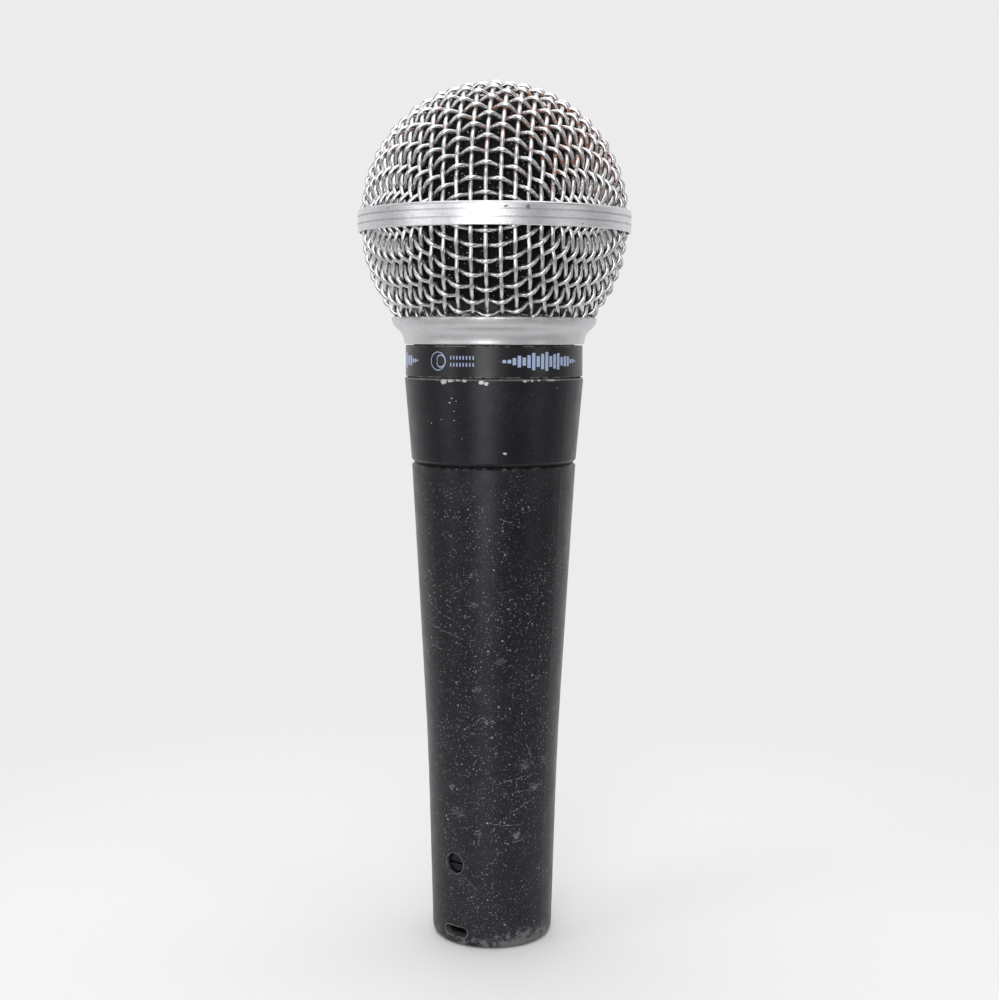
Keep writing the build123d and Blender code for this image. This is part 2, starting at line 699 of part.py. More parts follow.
with BuildPart() as grille_collar:
    cove_low = (COLLAR_LOW_R + 0.05, COLLAR_Z + 0.65)
    cove_turn = (COLLAR_MID_R, COLLAR_MID_Z)
    lip_edge = (COLLAR_TOP_R, COLLAR_TOP_Z - 0.4)
    seat_z = BOWL_LOW_Z - 0.1
    with BuildSketch(Plane.XZ):
        with BuildLine():
            Polyline(
                (COLLAR_BORE_R + 0.3, COLLAR_Z),
                (COLLAR_LOW_R - 0.15, COLLAR_Z),
                (COLLAR_LOW_R, COLLAR_Z + 0.15),
                cove_low,
            )
            cove = TangentArc(cove_low, cove_turn, tangent=(0.1, 1))
            TangentArc(cove_turn, lip_edge, tangent=cove % 1)
            Polyline(
                lip_edge,
                (COLLAR_TOP_R - 0.05, COLLAR_TOP_Z - 0.15),
                (COLLAR_TOP_R - 0.2, COLLAR_TOP_Z),
                (COLLAR_TOP_R - 0.38, COLLAR_TOP_Z),
                (COLLAR_TOP_R - 1.15, seat_z),
                (COLLAR_BORE_R + 0.7, seat_z),
                (COLLAR_BORE_R + 0.7, NECK_TOP_Z),
                (COLLAR_BORE_R, NECK_TOP_Z),
                (COLLAR_BORE_R, COLLAR_Z + 0.3),
                (COLLAR_BORE_R + 0.3, COLLAR_Z),
            )
        make_face()
    revolve(axis=Axis.Z)
    add(collar_thread.part)
grille_collar.part.label = "grille_collar"
export_step(grille_collar.part, "parts/grille_collar.step")

foam_dome = sphere_shell(
    FOAM_R, FOAM_THICK, DOME_CENTRE_Z, MESH_SPLIT_Z + MESH_SPLIT_GAP, GRILLE_TOP_Z
)
foam_dome.part.label = "foam_dome"
export_step(foam_dome.part, "parts/foam_dome.step")

foam_bowl = sphere_shell(
    FOAM_R, FOAM_THICK, BOWL_CENTRE_Z, FOAM_LOW_Z, MESH_SPLIT_Z - MESH_SPLIT_GAP
)
foam_bowl.part.label = "foam_bowl"
export_step(foam_bowl.part, "parts/foam_bowl.step")
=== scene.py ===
from math import asin, cos, pi, radians, sin

import bpy
import numpy as np
from mathutils import Matrix, Vector, noise


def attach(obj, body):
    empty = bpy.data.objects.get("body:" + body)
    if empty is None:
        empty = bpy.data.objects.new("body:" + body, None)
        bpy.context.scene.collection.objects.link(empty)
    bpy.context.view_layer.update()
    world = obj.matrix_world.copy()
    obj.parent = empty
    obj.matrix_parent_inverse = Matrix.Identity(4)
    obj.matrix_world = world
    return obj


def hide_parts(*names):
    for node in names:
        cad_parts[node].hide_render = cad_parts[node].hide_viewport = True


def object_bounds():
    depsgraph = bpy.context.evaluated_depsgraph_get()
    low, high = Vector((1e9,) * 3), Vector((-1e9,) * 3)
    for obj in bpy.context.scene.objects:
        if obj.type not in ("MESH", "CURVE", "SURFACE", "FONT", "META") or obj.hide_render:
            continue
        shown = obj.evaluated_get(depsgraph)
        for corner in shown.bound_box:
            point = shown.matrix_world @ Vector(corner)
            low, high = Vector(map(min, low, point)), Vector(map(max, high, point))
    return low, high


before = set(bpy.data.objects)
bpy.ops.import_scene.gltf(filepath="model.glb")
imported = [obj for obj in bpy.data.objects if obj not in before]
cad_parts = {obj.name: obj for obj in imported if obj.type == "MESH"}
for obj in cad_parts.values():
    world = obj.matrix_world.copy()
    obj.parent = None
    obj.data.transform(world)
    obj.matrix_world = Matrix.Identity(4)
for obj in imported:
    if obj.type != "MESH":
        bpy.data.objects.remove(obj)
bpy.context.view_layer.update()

# Handheld dynamic vocal microphone on a pale seamless floor. Metres, unless a name ends in _mm.

# ------------------------------------------------------------------ camera, light and floor

VIEW_AZIMUTH = radians(37.0)      # the photograph looks at the connector's latch side from here
VIEW_DISTANCE = 0.2955
VIEW_HEIGHT = 0.1161
VIEW_PITCH = radians(6.15)
VIEW_ROLL = 0.0037
VIEW_SHIFT = 0.0059
LENS_mm = 56.16
SENSOR_mm = 36.0

ROOM_SEEN = 0.845                 # how bright the room is to the camera,
ROOM_BEHIND = 0.98                # as light from behind the object,
ROOM_BEFORE = 0.22                # and as light from in front of it
LIT_HEIGHT = 0.09                 # every softbox faces the axis here

# name, degrees to the camera's right, height, distance, size, power
SOFTBOXES = (
    ("key", -5, 0.50, 0.95, (0.60, 0.5), 3.4),
    ("front_strip", -12, 0.06, 0.90, (0.34, 0.36), 2.2),
    ("left_fill", -62, 0.25, 1.0, (0.4, 0.8), 2.1),
    ("overhead", -20, 0.85, 0.06, (0.9, 0.9), 4.4),
    ("right_fill", 60, 0.20, 1.1, (0.35, 0.7), 1.3),
)

TO_CAMERA = Vector((sin(VIEW_AZIMUTH), -cos(VIEW_AZIMUTH), 0))
TO_RIGHT = Vector((cos(VIEW_AZIMUTH), sin(VIEW_AZIMUTH), 0))
UP = Vector((0, 0, 1))


def add_camera():
    camera = bpy.data.objects.new("camera", bpy.data.cameras.new("camera"))
    camera.data.lens = LENS_mm
    camera.data.sensor_width = SENSOR_mm
    camera.data.shift_x = VIEW_SHIFT
    camera.data.clip_start = 0.01
    looking = -TO_CAMERA * cos(VIEW_PITCH) - UP * sin(VIEW_PITCH)
    upright = looking.to_track_quat("-Z", "Y").to_matrix().to_4x4()
    place = Matrix.Translation(TO_CAMERA * VIEW_DISTANCE + UP * VIEW_HEIGHT)
    camera.matrix_world = place @ upright @ Matrix.Rotation(VIEW_ROLL, 4, "Z")
    bpy.context.scene.collection.objects.link(camera)
    bpy.context.scene.camera = camera


def add_softbox(name, degrees, height, distance, size, power):
    lamp = bpy.data.lights.new(name, "AREA")
    lamp.shape = "RECTANGLE"
    lamp.size, lamp.size_y = size
    lamp.energy = power
    side = radians(degrees)
    away = TO_CAMERA * cos(side) + TO_RIGHT * sin(side)
    place = away * distance + UP * height
    light = bpy.data.objects.new(name, lamp)
    facing = (UP * LIT_HEIGHT - place).to_track_quat("-Z", "Y").to_matrix().to_4x4()
    light.matrix_world = Matrix.Translation(place) @ facing
    bpy.context.scene.collection.objects.link(light)


def add_world():
    """An even white room to look at, which lights the object more from behind than from before."""
    world = bpy.data.worlds.new("white_room")
    world.use_nodes = True
    nodes, links = world.node_tree.nodes, world.node_tree.links
    background = nodes["Background"]
    background.inputs["Color"].default_value = (0.995, 0.995, 1.0, 1)
    coords = nodes.new("ShaderNodeTexCoord")
    facing = nodes.new("ShaderNodeVectorMath")
    facing.operation = "DOT_PRODUCT"
    facing.inputs[1].default_value = TO_CAMERA
    links.new(coords.outputs["Generated"], facing.inputs[0])
    level = nodes.new("ShaderNodeMapRange")
    level.interpolation_type = "SMOOTHSTEP"
    level.inputs["From Min"].default_value = -0.75
    level.inputs["From Max"].default_value = 0.35
    level.inputs["To Min"].default_value = ROOM_BEHIND
    level.inputs["To Max"].default_value = ROOM_BEFORE
    links.new(facing.outputs["Value"], level.inputs["Value"])
    path = nodes.new("ShaderNodeLightPath")
    choose = nodes.new("ShaderNodeMix")
    choose.inputs[3].default_value = ROOM_SEEN
    links.new(path.outputs["Is Camera Ray"], choose.inputs[0])
    links.new(level.outputs["Result"], choose.inputs[2])
    links.new(choose.outputs[0], background.inputs["Strength"])
    bpy.context.scene.world = world


# ------------------------------------------------------------------ node materials

TUBE_R = 14.0                     # mean radius of the black parts, in mm
SHAKE = 0.48                      # mm


class Surface:
    """A node material. Its positions and sizes are millimetres in the microphone's own frame."""

    def __init__(self, name, colour, roughness=0.5, metallic=0.0, specular=0.5, coat=0.0):
        self.material = bpy.data.materials.new(name)
        self.material.use_nodes = True
        self.nodes = self.material.node_tree.nodes
        self.shader = self.nodes["Principled BSDF"]
        self.colour, self.roughness, self.metallic = (*colour, 1.0), roughness, metallic
        self.shader.inputs["Specular IOR Level"].default_value = specular
        self.shader.inputs["Coat Weight"].default_value = coat
        self.shader.inputs["Coat Roughness"].default_value = 0.15
        coords = self.nodes.new("ShaderNodeTexCoord")
        self.mm = self.vector("SCALE", coords.outputs["Object"], scale=1000.0)
        split = self.node("ShaderNodeSeparateXYZ", Vector=self.mm)
        self.x, self.y, self.z = split.outputs
        self.normal = None

    def put(self, socket, value):
        if isinstance(value, bpy.types.NodeSocket):
            self.material.node_tree.links.new(value, socket)
        else:
            socket.default_value = value

    def node(self, kind, settings=(), **inputs):
        made = self.nodes.new(kind)
        for key, value in dict(settings).items():
            setattr(made, key, value)
        for key, value in inputs.items():
            self.put(made.inputs[key.replace("_", " ")], value)
        return made

    def math(self, operation, *values):
        made = self.node("ShaderNodeMath", {"operation": operation})
        for socket, value in zip(made.inputs, values):
            self.put(socket, value)
        return made.outputs[0]

    def total(self, *values):
        result = values[0]
        for value in values[1:]:
            result = self.math("ADD", result, value)
        return result

    def product(self, *values):
        result = values[0]
        for value in values[1:]:
            result = self.math("MULTIPLY", result, value)
        return result

    def either(self, *masks):
        result = masks[0]
        for mask in masks[1:]:
            result = self.math("MAXIMUM", result, mask)
        return result

    def minus(self, first, second):
        return self.math("SUBTRACT", first, second)

    def absolute(self, value):
        return self.math("ABSOLUTE", value)

    def length(self, first, second):
        """Length of the hypotenuse over two sides."""
        squares = self.product(first, first), self.product(second, second)
        return self.math("SQRT", self.total(*squares))

    def wrapped(self, value, period):
        """How far through its period value is, from 0 to 1."""
        return self.math("FRACT", self.math("DIVIDE", value, period))

    def off_spot(self, across, middle, height, squash):
        """Distance in mm from a spot on the unrolled surface, with heights counted squash times."""
        over = self.minus(across, middle)
        return self.length(over, self.product(self.minus(self.z, height), squash))

    def vector(self, operation, first, second=None, scale=None):
        made = self.node("ShaderNodeVectorMath", {"operation": operation})
        self.put(made.inputs[0], first)
        if second is not None:
            self.put(made.inputs[1], second)
        if scale is not None:
            self.put(made.inputs["Scale"], scale)
        is_number = operation in ("DOT_PRODUCT", "LENGTH", "DISTANCE")
        return made.outputs["Value" if is_number else "Vector"]

    def ramp(self, value, low, high, to_low=0.0, to_high=1.0):
        """Runs smoothly from to_low where value is low to to_high where it is high."""
        settings = {"interpolation_type": "SMOOTHSTEP"}
        made = self.node("ShaderNodeMapRange", settings, Value=value, From_Min=low, From_Max=high)
        self.put(made.inputs["To Min"], to_low)
        self.put(made.inputs["To Max"], to_high)
        return made.outputs["Result"]

    def noise(self, grain, detail=3.0, roughness=0.55, at=None, distortion=0.0):
        inputs = {"Vector": at or self.mm, "Scale": 1.0 / grain, "Detail": detail}
        made = self.node("ShaderNodeTexNoise", Roughness=roughness, Distortion=distortion, **inputs)
        return made.outputs["Fac"]

    def cells(self, grain, feature="F1", at=None):
        """Distance in cell units, and a random number for each cell; flat where at is given."""
        settings = {"feature": feature, "voronoi_dimensions": "2D" if at else "3D"}
        made = self.node("ShaderNodeTexVoronoi", settings, Vector=at or self.mm, Scale=1.0 / grain)
        if feature != "F1":
            return made.outputs["Distance"], None
        pick = self.node("ShaderNodeTexWhiteNoise", Vector=made.outputs["Color"])
        return made.outputs["Distance"], pick.outputs["Value"]

    def stretched(self, x, y, z):
        """Positions scaled by axis, so that a noise on them is long where the scale is small."""
        return self.vector("MULTIPLY", self.mm, (x, y, z))

    def unrolled(self):
        """Angle round the axis from the camera's side, the same as an arc in mm, and the radius."""
        right = self.vector("DOT_PRODUCT", self.mm, TO_RIGHT)
        front = self.vector("DOT_PRODUCT", self.mm, TO_CAMERA)
        radius = self.length(right, front)
        angle = self.math("ARCTAN2", right, front)
        return angle, self.product(angle, radius), radius

    def sheet(self):
        """The surface unrolled flat, slightly shaken, so that flat cells make round specks."""
        angle, _, _ = self.unrolled()
        flat = self.node("ShaderNodeCombineXYZ", X=self.product(angle, TUBE_R), Y=self.z).outputs[0]
        shake = self.node("ShaderNodeTexNoise", Vector=self.mm, Scale=4.5, Detail=2.0)
        shake = self.vector("SUBTRACT", shake.outputs["Color"], (0.5, 0.5, 0.5))
        return self.vector("ADD", flat, self.vector("SCALE", shake, scale=SHAKE))

    def mix(self, mask, first, second):
        made = self.nodes.new("ShaderNodeMix")
        made.data_type = "RGBA"
        self.put(made.inputs[0], mask)
        self.put(made.inputs[6], first)
        self.put(made.inputs[7], second)
        return made.outputs[2]

    def blend(self, mask, first, second):
        made = self.nodes.new("ShaderNodeMix")
        made.data_type = "FLOAT"
        self.put(made.inputs[0], mask)
        self.put(made.inputs[2], first)
        self.put(made.inputs[3], second)
        return made.outputs[0]

    def cover(self, mask, colour=None, roughness=None, metallic=None):
        """Lays another finish over what is there, where mask is 1."""
        if colour is not None:
            self.colour = self.mix(mask, self.colour, (*colour, 1.0))
        if roughness is not None:
            self.roughness = self.blend(mask, self.roughness, roughness)
        if metallic is not None:
            self.metallic = self.blend(mask, self.metallic, metallic)

    def relief(self, height, depth):
        """Bump of the given depth in mm, on top of any before it."""
        made = self.node("ShaderNodeBump", Height=height, Distance=depth / 1000.0, Strength=1.0)
        if self.normal is not None:
            self.put(made.inputs["Normal"], self.normal)
        self.normal = made.outputs["Normal"]

    def done(self):
        self.put(self.shader.inputs["Base Color"], self.colour)
        self.put(self.shader.inputs["Roughness"], self.roughness)
        self.put(self.shader.inputs["Metallic"], self.metallic)
        if self.normal is not None:
            self.put(self.shader.inputs["Normal"], self.normal)
        return self.material


def grained(name, colour, roughness, metallic=0.0, grain=0.3, depth=0.01, mottle=0.15, **finish):
    """A base for most finishes: fine grain, and colour and gloss that drift slowly."""
    surface = Surface(name, colour, metallic=metallic, **finish)
    drift = surface.noise(grain * 14, detail=4.0)
    darker = tuple(c * (1 - mottle) for c in colour)
    surface.cover(surface.ramp(drift, 0.35, 0.65), darker)
    surface.roughness = surface.ramp(drift, 0.3, 0.7, roughness * 0.88, min(1.0, roughness * 1.12))
    surface.relief(surface.noise(grain, detail=4.0), depth)
    return surface


def speckle(surface, grain, size, share, at=None):
    """Small round specks: size is the largest radius in mm, share the part of cells with one."""
    distance, pick = surface.cells(grain, at=at)
    radius = surface.ramp(pick, 1.0 - share, 1.0, 0.0, size / grain)
    edge = surface.minus(radius, distance)
    return surface.ramp(edge, 0.0, 0.12 * size / grain)


# ------------------------------------------------------------------ the black enamel

# across the handle from the camera's side, height, direction in degrees, length, all in mm
HANDLE_SCRATCHES = (
    (-11.2, 64.6, -22, 9.0), (-9.5, 60.8, -14, 11.0), (-12.0, 57.5, -8, 4.0), (-6.5, 69.0, 30, 3.0),
    (3.2, 33.0, 12, 8.0), (4.6, 30.6, 4, 6.5), (6.0, 27.8, 24, 7.0), (2.0, 24.5, -6, 8.5),
    (5.5, 21.2, 16, 6.0), (0.5, 18.0, 62, 4.0), (-4.5, 13.0, -40, 5.0), (7.5, 37.5, -70, 6.0),
    (9.0, 70.0, 78, 5.0), (2.5, 82.0, -12, 4.0), (-3.0, 44.0, 40, 4.5), (8.0, 52.0, 8, 4.0),
    (38.0, 60.0, 20, 9.0), (42.0, 35.0, -12, 7.0), (-36.0, 72.0, 14, 8.0), (-40.0, 28.0, 34, 9.0),
    (26.0, 48.0, -20, 6.0), (-24.0, 40.0, 12, 7.0),
)
# across the handle, height and size of each patch of scuffing, in mm
HANDLE_SCUFFS = (
    (6.5, 35.4, 2.6), (8.4, 31.0, 2.6), (-6.9, 26.1, 3.0), (-2.6, 22.7, 1.8), (-0.9, 44.4, 2.4),
    (-3.5, 66.2, 2.0), (-4.0, 71.8, 1.5), (-2.8, 50.4, 1.6), (10.9, 36.0, 1.8), (1.5, 56.0, 1.6),
    (-8.2, 31.0, 2.0), (4.6, 22.0, 2.2), (32.0, 50.0, 3.0), (-30.0, 36.0, 3.0), (40.0, 24.0, 2.5),
)
BARREL_SCRATCHES = ((-6.0, 98.0, 8, 5.0), (7.0, 102.5, -16, 4.0), (34.0, 100.0, 24, 6.0))

HANDLE_TOP = 91.25
SCREW_HOLE, SCREW_HOLE_R = (0.0, -11.7, 16.1), 2.0
LATCH_SLOT_Z, LATCH_SLOT_R, LATCH_SLOT_REACH = 2.8, 0.95, 1.7


def scratches(surface, across, table, width=0.07):
    """Thin broken lines, each given by its middle, direction and length."""
    wander = surface.minus(surface.noise(2.6, detail=2.0), 0.5)
    gaps = surface.ramp(surface.noise(0.55, detail=3.0), 0.40, 0.56)
    mask = None
    for middle, height, direction, length in table:
        ahead, side = cos(radians(direction)), sin(radians(direction))
        over = surface.minus(across, middle)
        above = surface.minus(surface.z, height)
        along = surface.total(surface.product(over, ahead), surface.product(above, side))
        beside = surface.total(surface.product(above, ahead), surface.product(over, -side))
        beside = surface.absolute(surface.total(beside, surface.product(wander, 1.1)))
        line = surface.product(
            surface.ramp(beside, width, width * 0.25),
            surface.ramp(surface.absolute(along), length * 0.5, length * 0.3),
        )
        mask = line if mask is None else surface.either(mask, line)
    return surface.product(mask, gaps)


def worn_rim(surface, distance, edge, reach):
    """A rubbed line just outside a hole's edge."""
    uneven = surface.product(surface.noise(0.9, detail=3.0), reach * 1.8)
    outside = surface.minus(distance, edge)
    return surface.product(
        surface.ramp(outside, uneven, surface.product(uneven, 0.35)),
        surface.ramp(outside, -0.9, -0.5),
    )


def enamel(name):
    """Matte black baked enamel, with a faint orange peel and a little dust in it."""
    surface = grained(
        name, (0.0072, 0.0071, 0.0080), 0.35, grain=0.22, depth=0.012, mottle=0.25, specular=0.31)
    surface.shader.inputs["Specular Tint"].default_value = (0.84, 0.87, 1.0, 1.0)
    surface.relief(surface.noise(1.6, detail=2.0), 0.015)
    haze = surface.ramp(surface.noise(9.0, detail=6.0, roughness=0.7), 0.46, 0.74)
    surface.cover(surface.product(haze, 0.25), (0.030, 0.031, 0.034), 0.58)
    return surface


def handle_enamel():
    surface = enamel("handle_enamel")
    angle, across, _ = surface.unrolled()
    sheet = surface.sheet()
    height = surface.z
    patch = surface.ramp(surface.noise(11.0, detail=4.0, roughness=0.65), 0.36, 0.64, 0.3, 1.0)
    belt = surface.product(
        surface.ramp(height, 2.0, 26.0, 0.7, 1.0), surface.ramp(height, 90.0, 66.0, 0.5, 1.0))
    busy = surface.product(patch, belt)
    cluster = surface.ramp(surface.noise(2.4, detail=3.0, roughness=0.7), 0.42, 0.60)
    fine = surface.product(
        speckle(surface, 0.56, 0.125, 0.62, at=sheet),
        surface.ramp(busy, 0.10, 0.55),
        surface.ramp(cluster, 0.0, 1.0, 0.45, 1.0),
    )
    coarse = surface.product(
        speckle(surface, 1.9, 0.20, 0.34, at=sheet), surface.ramp(busy, 0.25, 0.75))
    dust = surface.product(
        speckle(surface, 0.34, 0.085, 0.55, at=sheet), surface.ramp(busy, 0.1, 0.9, 0.35, 1.0))
    surface.cover(surface.product(dust, 0.7), (0.115, 0.118, 0.125), 0.7)
    surface.cover(surface.product(fine, 0.85), (0.24, 0.245, 0.25), 0.65)
    uneven = surface.ramp(surface.noise(1.0), 0.35, 0.6, 0.5, 1.0)
    surface.cover(surface.product(coarse, uneven), (0.30, 0.30, 0.30), 0.55)
    rubbed = scratches(surface, across, HANDLE_SCRATCHES)
    crumbs = surface.noise(0.55, detail=5.0, roughness=0.8, at=surface.stretched(0.75, 0.75, 2.4))
    scuffed = None
    for middle, level, size in HANDLE_SCUFFS:
        near = surface.ramp(surface.off_spot(across, middle, level, 1.3), size, size * 0.1)
        scuffed = near if scuffed is None else surface.either(scuffed, near)
    scuffed = surface.ramp(surface.total(crumbs, surface.product(scuffed, 0.15)), 0.62, 0.74)
    rubbed = surface.either(rubbed, surface.product(scuffed, 0.8))
    surface.cover(surface.product(rubbed, 0.85), (0.25, 0.255, 0.26), 0.6)
    surface.relief(surface.total(rubbed, fine, coarse), -0.03)

    right_side = surface.ramp(angle, -0.7, 0.8, -0.03, 0.10)
    grit = surface.noise(0.45, detail=3.0, roughness=0.75)
    tail = surface.total(
        surface.product(surface.noise(1.5, detail=4.0, roughness=0.6), 0.7),
        surface.product(grit, 0.3),
        right_side,
    )
    tail_worn = surface.either(
        surface.product(surface.ramp(height, 2.6, 1.0), surface.ramp(tail, 0.44, 0.56)),
        surface.product(surface.ramp(height, 4.6, 2.0), surface.ramp(tail, 0.52, 0.66)),
    )
    nibbled = surface.either(
        speckle(surface, 0.5, 0.12, 0.5, at=sheet),
        surface.ramp(surface.noise(1.6, detail=4.0), 0.55, 0.68),
    )
    top_worn = surface.product(surface.ramp(height, HANDLE_TOP - 0.3, HANDLE_TOP), nibbled)
    hole = surface.vector("DISTANCE", surface.mm, SCREW_HOLE)
    hole_rim = worn_rim(surface, hole, SCREW_HOLE_R, 0.16)
    beside_slot = surface.minus(surface.absolute(surface.x), LATCH_SLOT_REACH)
    slot = surface.length(surface.either(beside_slot, 0.0), surface.minus(height, LATCH_SLOT_Z))
    slot_side = surface.ramp(surface.y, -9.5, -10.0)
    slot_rim = surface.product(worn_rim(surface, slot, LATCH_SLOT_R, 0.22), slot_side)
    rims = surface.either(hole_rim, slot_rim)
    surface.cover(surface.product(tail_worn, 0.9), (0.15, 0.153, 0.155), 0.58, 0.2)
    faded = surface.ramp(surface.noise(1.3, detail=3.0), 0.38, 0.62, 0.25, 0.85)
    bared = surface.either(surface.product(top_worn, 0.4), surface.product(rims, faded))
    surface.cover(bared, (0.21, 0.21, 0.205), 0.5, 0.4)
    return surface.done()


# across the barrel from the camera's side, height and size of each large chip, in mm
BARREL_CHIPS = (
    (-9.6, 107.2, 0.75), (-8.2, 107.4, 0.55), (-5.4, 107.4, 0.4), (-2.2, 107.1, 0.6),
    (-1.4, 106.9, 0.5), (5.6, 107.4, 0.4), (7.0, 107.4, 0.35), (8.4, 107.5, 0.3),
    (-8.3, 103.4, 0.22), (-7.9, 104.2, 0.16), (-7.0, 103.7, 0.12), (-7.4, 101.9, 0.12),
    (-7.4, 100.2, 0.14), (-12.6, 99.6, 0.16), (-10.2, 100.3, 0.12), (2.0, 94.3, 0.32),
    (-5.9, 96.9, 0.10), (12.6, 106.0, 0.12), (30.0, 106.9, 0.7), (-30.0, 107.1, 0.6),
)


def barrel_enamel():
    surface = enamel("barrel_enamel")
    _, across, _ = surface.unrolled()
    sheet = surface.sheet()
    height = surface.z
    glint = speckle(surface, 0.30, 0.06, 0.6, at=sheet)
    surface.cover(surface.product(glint, 0.6), (0.06, 0.062, 0.072), 0.5)
    dust = speckle(surface, 1.3, 0.08, 0.3, at=sheet)
    surface.cover(surface.product(dust, 0.5), (0.15, 0.15, 0.15), 0.7)
    rubbed = scratches(surface, across, BARREL_SCRATCHES, 0.04)
    surface.cover(surface.product(rubbed, 0.35), (0.10, 0.10, 0.10), 0.6)
    # Painted highlight: a light grey line along the barrel's top edge, under the label.
    painted_edge_highlight = surface.ramp(height, 107.3, 107.5)
    surface.cover(surface.product(painted_edge_highlight, 0.7), (0.17, 0.17, 0.175), 0.4)
    ragged = surface.minus(surface.noise(0.6, detail=5.0, roughness=0.8), 0.5)
    chips = surface.product(
        surface.ramp(height, 107.2, 107.45),
        surface.ramp(surface.noise(2.6, detail=5.0, roughness=0.72), 0.56, 0.62),
    )
    for middle, level, size in BARREL_CHIPS:
        off = surface.off_spot(across, middle, level, 1.4832)
        off = surface.total(off, surface.product(ragged, size * 3.4))
        chips = surface.either(chips, surface.ramp(off, size, size * 0.85))
    surface.cover(chips, (0.50, 0.48, 0.45), 0.45, 0.45)
    surface.relief(chips, -0.06)
    return surface.done()


# ------------------------------------------------------------------ the label's graphic

LABEL_R = 16.66
LABEL_MIDDLE, LABEL_HALF = 110.85, 1.70            # height of the print
LABEL_EDGES = 108.0, 113.45
LABEL_INK = (0.34, 0.41, 0.60)
PRINT_REPEAT = 2 * pi / 3                          # the print comes three times round
PRINT_OFFSET = radians(1.5)                        # from the camera's side to where it starts
METER_BAR, METER_END = 0.92, 18.0                  # pitch of the level bars, and where they end
SYMBOL_START = radians(74.5) * LABEL_R
SYMBOL_R, LOBE_R = 1.62, 0.82
SCALE_DASH, SCALE_START, SCALE_END = 0.62, 4.6, 9.25


def label_band():
    """Smooth black band, printed three times round with a level-meter strip and a pick-up lobe."""
    black = (0.008, 0.008, 0.0105)
    surface = grained(
        "label_print", black, 0.32, grain=0.5, depth=0.004, mottle=0.1, specular=0.33)
    angle, _, _ = surface.unrolled()
    turn = surface.math("MODULO", surface.total(angle, 2 * pi - PRINT_OFFSET), PRINT_REPEAT)
    run = surface.product(turn, LABEL_R)
    above = surface.minus(surface.z, LABEL_MIDDLE)
    level = surface.absolute(above)

    count = surface.math("FLOOR", surface.math("DIVIDE", run, METER_BAR))
    within = surface.absolute(surface.minus(surface.wrapped(run, METER_BAR), 0.5))
    envelope = surface.math("SINE", surface.product(count, pi / 19.5))
    ripple = surface.math("SINE", surface.product(count, 2.1))
    uneven = surface.absolute(surface.total(surface.product(ripple, 0.24), 0.80))
    tall = surface.product(uneven, envelope, LABEL_HALF)
    bars = surface.product(
        surface.ramp(within, 0.38, 0.34),
        surface.ramp(surface.minus(tall, level), -0.03, 0.03),
        surface.ramp(run, METER_END + 0.1, METER_END),
    )

    beside = surface.minus(run, SYMBOL_START + 1.9)
    reach = surface.length(beside, above)
    bearing = surface.math("ARCTAN2", above, beside)
    lobe = surface.total(surface.product(surface.math("COSINE", bearing), LOBE_R), LOBE_R)
    outline = surface.ramp(surface.absolute(surface.minus(reach, lobe)), 0.15, 0.09)
    ring = surface.ramp(surface.absolute(surface.minus(reach, SYMBOL_R)), 0.09, 0.05)

    dash = surface.wrapped(run, SCALE_DASH)
    scale = surface.product(
        surface.ramp(surface.absolute(surface.minus(dash, 0.5)), 0.22, 0.17),
        surface.ramp(surface.absolute(surface.minus(level, 0.62)), 0.34, 0.30),
        surface.ramp(run, SYMBOL_START + SCALE_START - 0.05, SYMBOL_START + SCALE_START),
        surface.ramp(run, SYMBOL_START + SCALE_END + 0.05, SYMBOL_START + SCALE_END),
    )
    ink = surface.either(bars, outline, ring, scale)
    worn = surface.ramp(surface.noise(0.5, detail=4.0, roughness=0.7), 0.30, 0.38)
    surface.cover(surface.product(ink, worn), LABEL_INK, 0.42)
    dust = speckle(surface, 1.3, 0.09, 0.2)
    surface.cover(surface.product(dust, 0.4), (0.2, 0.2, 0.2), 0.6)
    # Light grey lines along the band's top and bottom edges, broken up by noise: rubbed wear and a
    # painted highlight.
    low, high = LABEL_EDGES
    edges = surface.either(
        surface.ramp(surface.z, high - 0.1, high + 0.1),
        surface.ramp(surface.z, low + 0.1, low - 0.1),
    )
    rubbed = surface.product(edges, surface.ramp(surface.noise(1.2), 0.45, 0.6), 0.6)
    surface.cover(rubbed, (0.3, 0.3, 0.3), 0.5)
    return surface.done()


# ------------------------------------------------------------------ metals outside

BAND_GROOVES = (135.72, 137.08)
# across the band from the camera's side, height and size of each nick, in mm
BAND_NICKS = ((5.8, 137.45, 0.62), (1.9, 137.5, 0.36), (16.4, 134.95, 0.2), (-21.0, 137.7, 0.25))


